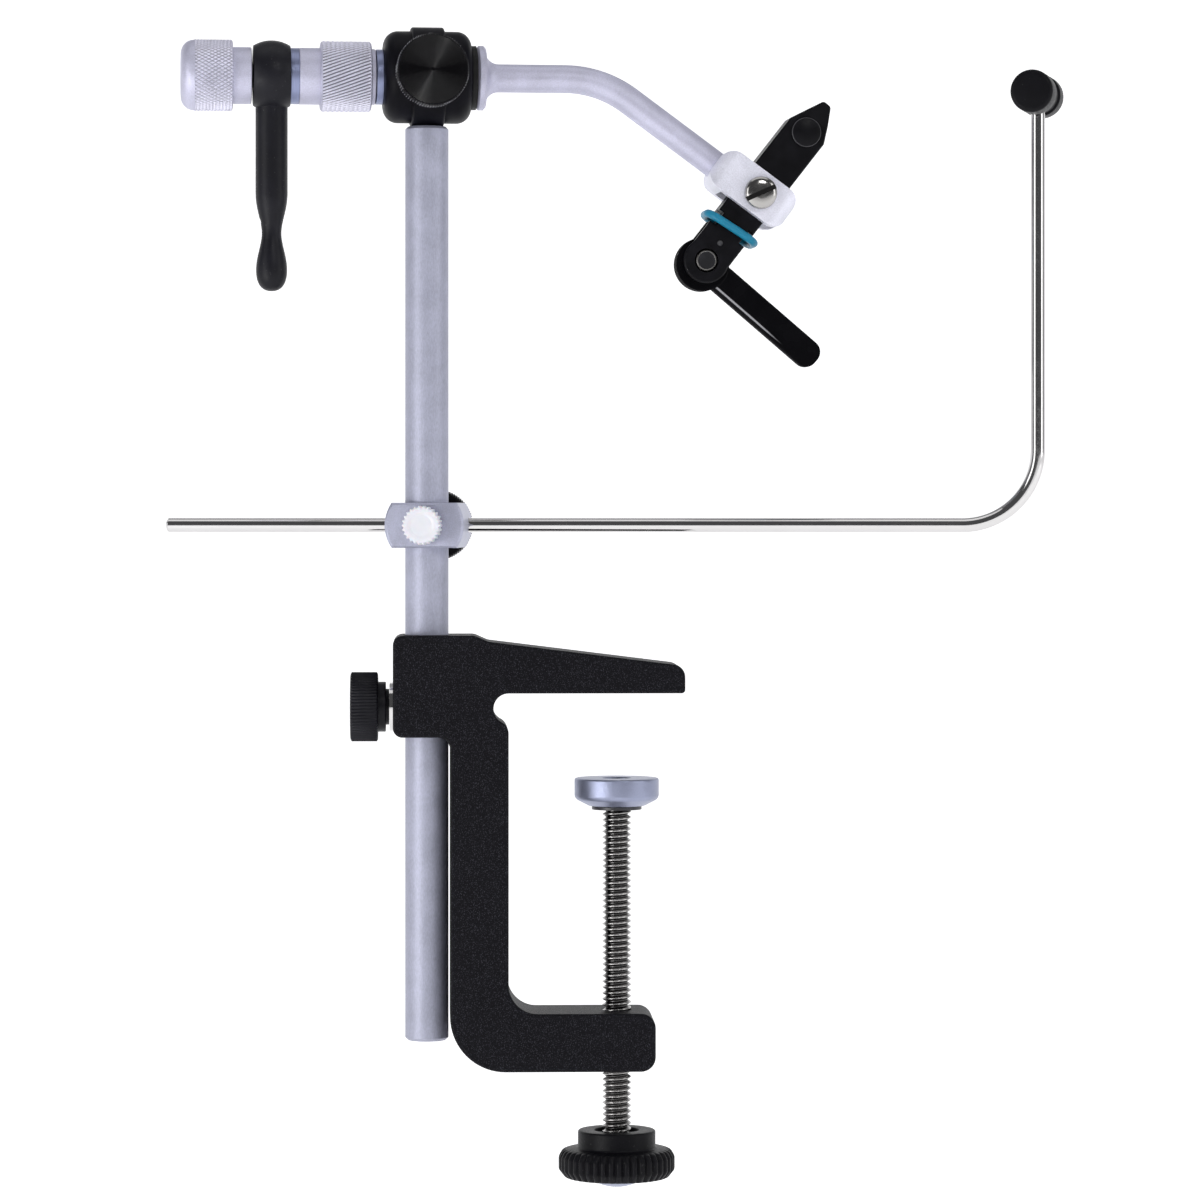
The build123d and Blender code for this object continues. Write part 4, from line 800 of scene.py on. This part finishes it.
# Rubber ring round the jaws: a loop of four straight runs and four bends
RING_R = 0.9
RING_BEND = 3.0
RING_LEAN = JAW + math.radians(5.2)
RING_REACH = 9.1
RING_HALF_WIDTH = 6.1
RING_GAP = 0.15
RING_SIDES = 20
RING_BEND_STEPS = 12
ring_up = HEAD_TURN @ Vector((-math.sin(RING_LEAN), 0, math.cos(RING_LEAN)))
ring_back = -HEAD_FRONT
ring_middle = PIN + JAW_DIR * RING_REACH
ring_long = RING_HALF_WIDTH - RING_BEND
ring_deep = JAW_FACE + RING_GAP + RING_R - RING_BEND
o_ring = bmesh.new()
ring_edges = ring_at(o_ring, ring_middle + ring_up * RING_HALF_WIDTH, ring_back, RING_R,
                     RING_SIDES)
ring_edges = draw_out(o_ring, ring_edges, ring_back * ring_deep)
ring_turns = ((ring_up, ring_back), (-ring_up, ring_back),
              (-ring_up, -ring_back), (ring_up, -ring_back))
ring_runs = (-ring_up * 2 * ring_long, -ring_back * 2 * ring_deep,
             ring_up * 2 * ring_long, ring_back * ring_deep)
for (end_side, deep_side), run in zip(ring_turns, ring_runs):
    bend_at = ring_middle + end_side * ring_long + deep_side * ring_deep
    ring_edges = draw_round(o_ring, ring_edges, bend_at, ring_up.cross(ring_back),
                            RING_BEND_STEPS)
    ring_edges = draw_out(o_ring, ring_edges, run)
piece("jaw_o_ring_rubber", o_ring, "jaws", "jaw_o_ring", RUBBER)

# Gap screw with a milled head
MILL_TEETH = 60
MILL_DEPTH = 0.12
MILL_R = 3.2
GAP_RIM_R = 3.08
GAP_SCREW_REACH = 17.4
gap_line = Line(PIVOT + JAW_DIR * GAP_SCREW_REACH + HEAD_FRONT * JAW_FACE, HEAD_FRONT, JAW_DIR)
gap_screw = turned(gap_line, [(-4.0, 0), (-4.0, 1.5), (0, 1.5), (0, 3.0), (0.08, 3.3), (0.48, 3.3),
                              (0.6, 3.1), (0.6, 0)], MILL_TEETH * 4)
press(gap_screw, gap_line, straight_teeth(MILL_TEETH),
      lambda along, radius: MILL_DEPTH * (radius > MILL_R))
mark(gap_screw, gap_line, lambda along, radius: radius > GAP_RIM_R)
piece("jaw_gap_screw_milled", gap_screw, "rocker", "jaw_gap_screw", JAW_STEEL,
      sharp=40, second=MILLED_STEEL)

# Cam pin with a bright chamfer, and the dimpled follower pin
PIN_CHAMFER_START = 4.05
PIN_CHAMFER_R = 1.95
FOLLOWER_REACH = 4.83
cam_pin = turned(pin_line, [(-4.25, 0), (-4.25, 2.1), (-4.0, 2.35), (4.0, 2.35), (4.25, 2.1),
                            (4.25, 1.98), (4.2, 1.93), (4.2, 0)], 72)
mark(cam_pin, pin_line, lambda along, radius: along > PIN_CHAMFER_START and radius > PIN_CHAMFER_R)
piece("cam_pin_chamfered", cam_pin, "jaws", "cam_pin", PIN_STEEL, second=THREAD)
follower_line = Line(PIN + JAW_DIR * FOLLOWER_REACH, HEAD_FRONT, JAW_DIR)
follower = turned(follower_line, [(1.2, 0), (1.2, 0.5), (1.35, 0.65), (4.02, 0.65), (4.12, 0.55),
                                  (4.0, 0.3), (3.95, 0)], 40)
piece("cam_follower_pin_dimpled", follower, "rocker", "cam_follower_pin", MILLED_STEEL)

# Slotted pivot screw: a shank with a low disc, and two half domes with the slot between them. The
# slot's walls and floor have painted shade.
SLOT_HALF = 0.52
SLOT_TURN = math.radians(24)
DISC_TOP = 8.35
HEAD_R = 3.58
DOME_RISE = 1.15
DOME_ROUND = 0.55
DOME_STEPS = 10
pivot_screw = turned(pivot_line, [(-7.3, 0), (-7.3, 2.0, 0.2), (7.3, 2.0), (7.3, 3.6, 0.12),
                                  (DISC_TOP, HEAD_R), (DISC_TOP, 0)], 96)
mark(pivot_screw, pivot_line, lambda along, radius: along > DISC_TOP - 0.02)
dome_outline = [(DISC_TOP, 0), (DISC_TOP, HEAD_R)]
for k in range(1, DOME_STEPS):
    lift = QUARTER * k / DOME_STEPS
    dome_outline.append((DISC_TOP + DOME_RISE * math.sin(lift),
                         HEAD_R * math.cos(lift) ** DOME_ROUND))
dome_outline.append((DISC_TOP + DOME_RISE, 0))
slot_side = HEAD_TURN @ Vector((-math.sin(SLOT_TURN), 0, math.cos(SLOT_TURN)))
for side in (slot_side, -slot_side):
    half_dome = turned(pivot_line, dome_outline, 96)
    for wall in cut_flat(half_dome, PIVOT + side * SLOT_HALF, -side):
        wall.material_index = 1
    join(pivot_screw, half_dome)
piece("jaw_screw_slotted", pivot_screw, "rotor", "jaw_screw", SCREW_HEAD,
      second=SCREW_SLOT_SHADE)

# Studio, in metres: a white floor that curves up into a wall behind the vise. It lies just below
# the handwheel's lowest place, because the vise hangs on a table's edge and the screw winds down
FLOOR_GAP = 0.0003
joints = frame["record"]["behaviour"]["joints"]
joint_ranges = {joint["name"]: joint.get("range_m") for joint in joints}
FLOOR_Z = cad_box[0][2] + joint_ranges["clamp_travel"][0] - FLOOR_GAP
FLOOR_HALF = 9.0
WALL_Y = 2.0
WALL_TOP = 1.6
WALL_CURVE = 0.8
sweep = bmesh.new()
floor_line = [sweep.verts.new((-FLOOR_HALF, y, FLOOR_Z + z))
              for y, z in ((-FLOOR_HALF, 0), (WALL_Y, 0), (WALL_Y, WALL_TOP))]
for pair in zip(floor_line, floor_line[1:]):
    sweep.edges.new(pair)
round_corner(sweep, floor_line[1], WALL_CURVE, 24)
draw_out(sweep, sweep.edges[:], RIGHT * (2 * FLOOR_HALF))
bmesh.ops.recalc_face_normals(sweep, faces=sweep.faces)
floor_mesh = bpy.data.meshes.new("studio_floor")
sweep.to_mesh(floor_mesh)
sweep.free()
floor_mesh.shade_smooth()
floor = bpy.data.objects.new("studio_floor", floor_mesh)
bpy.context.scene.collection.objects.link(floor)
floor_finish = Finish("studio_floor", Base_Color=(0.88, 0.88, 0.88), Roughness=0.9,
                      Specular_IOR_Level=0.1, Emission_Strength=1.0)
floor_glow = floor_finish.mix(floor_finish.seen_rays(), (0.09, 0.09, 0.09), (0.69, 0.69, 0.69))
floor_finish.put("Emission Color", floor_glow)
floor_mesh.materials.append(floor_finish.material)

# The room is darkest on the camera's side, and dimmer than the wall above it, so that mirrors
# show light and dark
world = bpy.data.worlds.new("studio_world")
world.use_nodes = True
room = Graph(world.node_tree)
ray_way = room.node("TexCoord", "Generated", {}, {})
ray_back = room.node("SeparateXYZ", "Y", {}, {"Vector": ray_way})
fill = room.node("LightPath", "Is Diffuse Ray", {}, {}) * 0.38
background = world.node_tree.nodes["Background"]
room.feed(background.inputs["Color"], (0.96, 0.97, 1.0))
room.feed(background.inputs["Strength"], ray_back.ramp(-0.40, 0.60, 0.10, 0.40).most(fill))
bpy.context.scene.world = world


def soft_light(name, place, target, size, power):
    """An area lamp that looks at a target."""
    light = bpy.data.lights.new(name, "AREA")
    light.shape = "RECTANGLE"
    light.size = size[0]
    light.size_y = size[1]
    light.energy = power
    lamp = bpy.data.objects.new(name, light)
    lamp.location = place
    lamp.rotation_euler = (Vector(target) - Vector(place)).to_track_quat("-Z", "Y").to_euler()
    bpy.context.scene.collection.objects.link(lamp)


soft_light("left_light", (-1.15, -0.75, 0.10), (0, 0, 0.03), (0.6, 1.2), 5.2)
soft_light("right_light", (1.2, -0.60, 0.45), (0, 0, 0.05), (0.6, 1.0), 4.2)
soft_light("top_light", (0.0, -0.10, 1.4), (0, 0, 0.0), (1.6, 0.9), 4.3)
soft_light("key_light", (0.30, -0.95, 0.68), (-0.04, 0, 0.12), (0.22, 0.22), 2.0)
soft_light("low_light", (-0.42, -0.40, -0.06), (-0.05, 0, -0.07), (0.25, 0.10), 0.75)

# Camera: the photograph's viewing angle, level and a little from the left
camera_data = bpy.data.cameras.new("photo_camera")
camera_data.sensor_width = 36
camera_data.lens = 133.75
camera_data.shift_y = -0.0725
camera_data.clip_start = 0.01
camera = bpy.data.objects.new("photo_camera", camera_data)
camera.location = (-0.03967, -0.98173, 0.0394)
look = Vector((0.03664, 0.99935, 0.0))
camera.rotation_euler = look.to_track_quat("-Z", "Y").to_euler()
bpy.context.scene.collection.objects.link(camera)
bpy.context.scene.camera = camera
bpy.context.scene.view_settings.view_transform = "Standard"
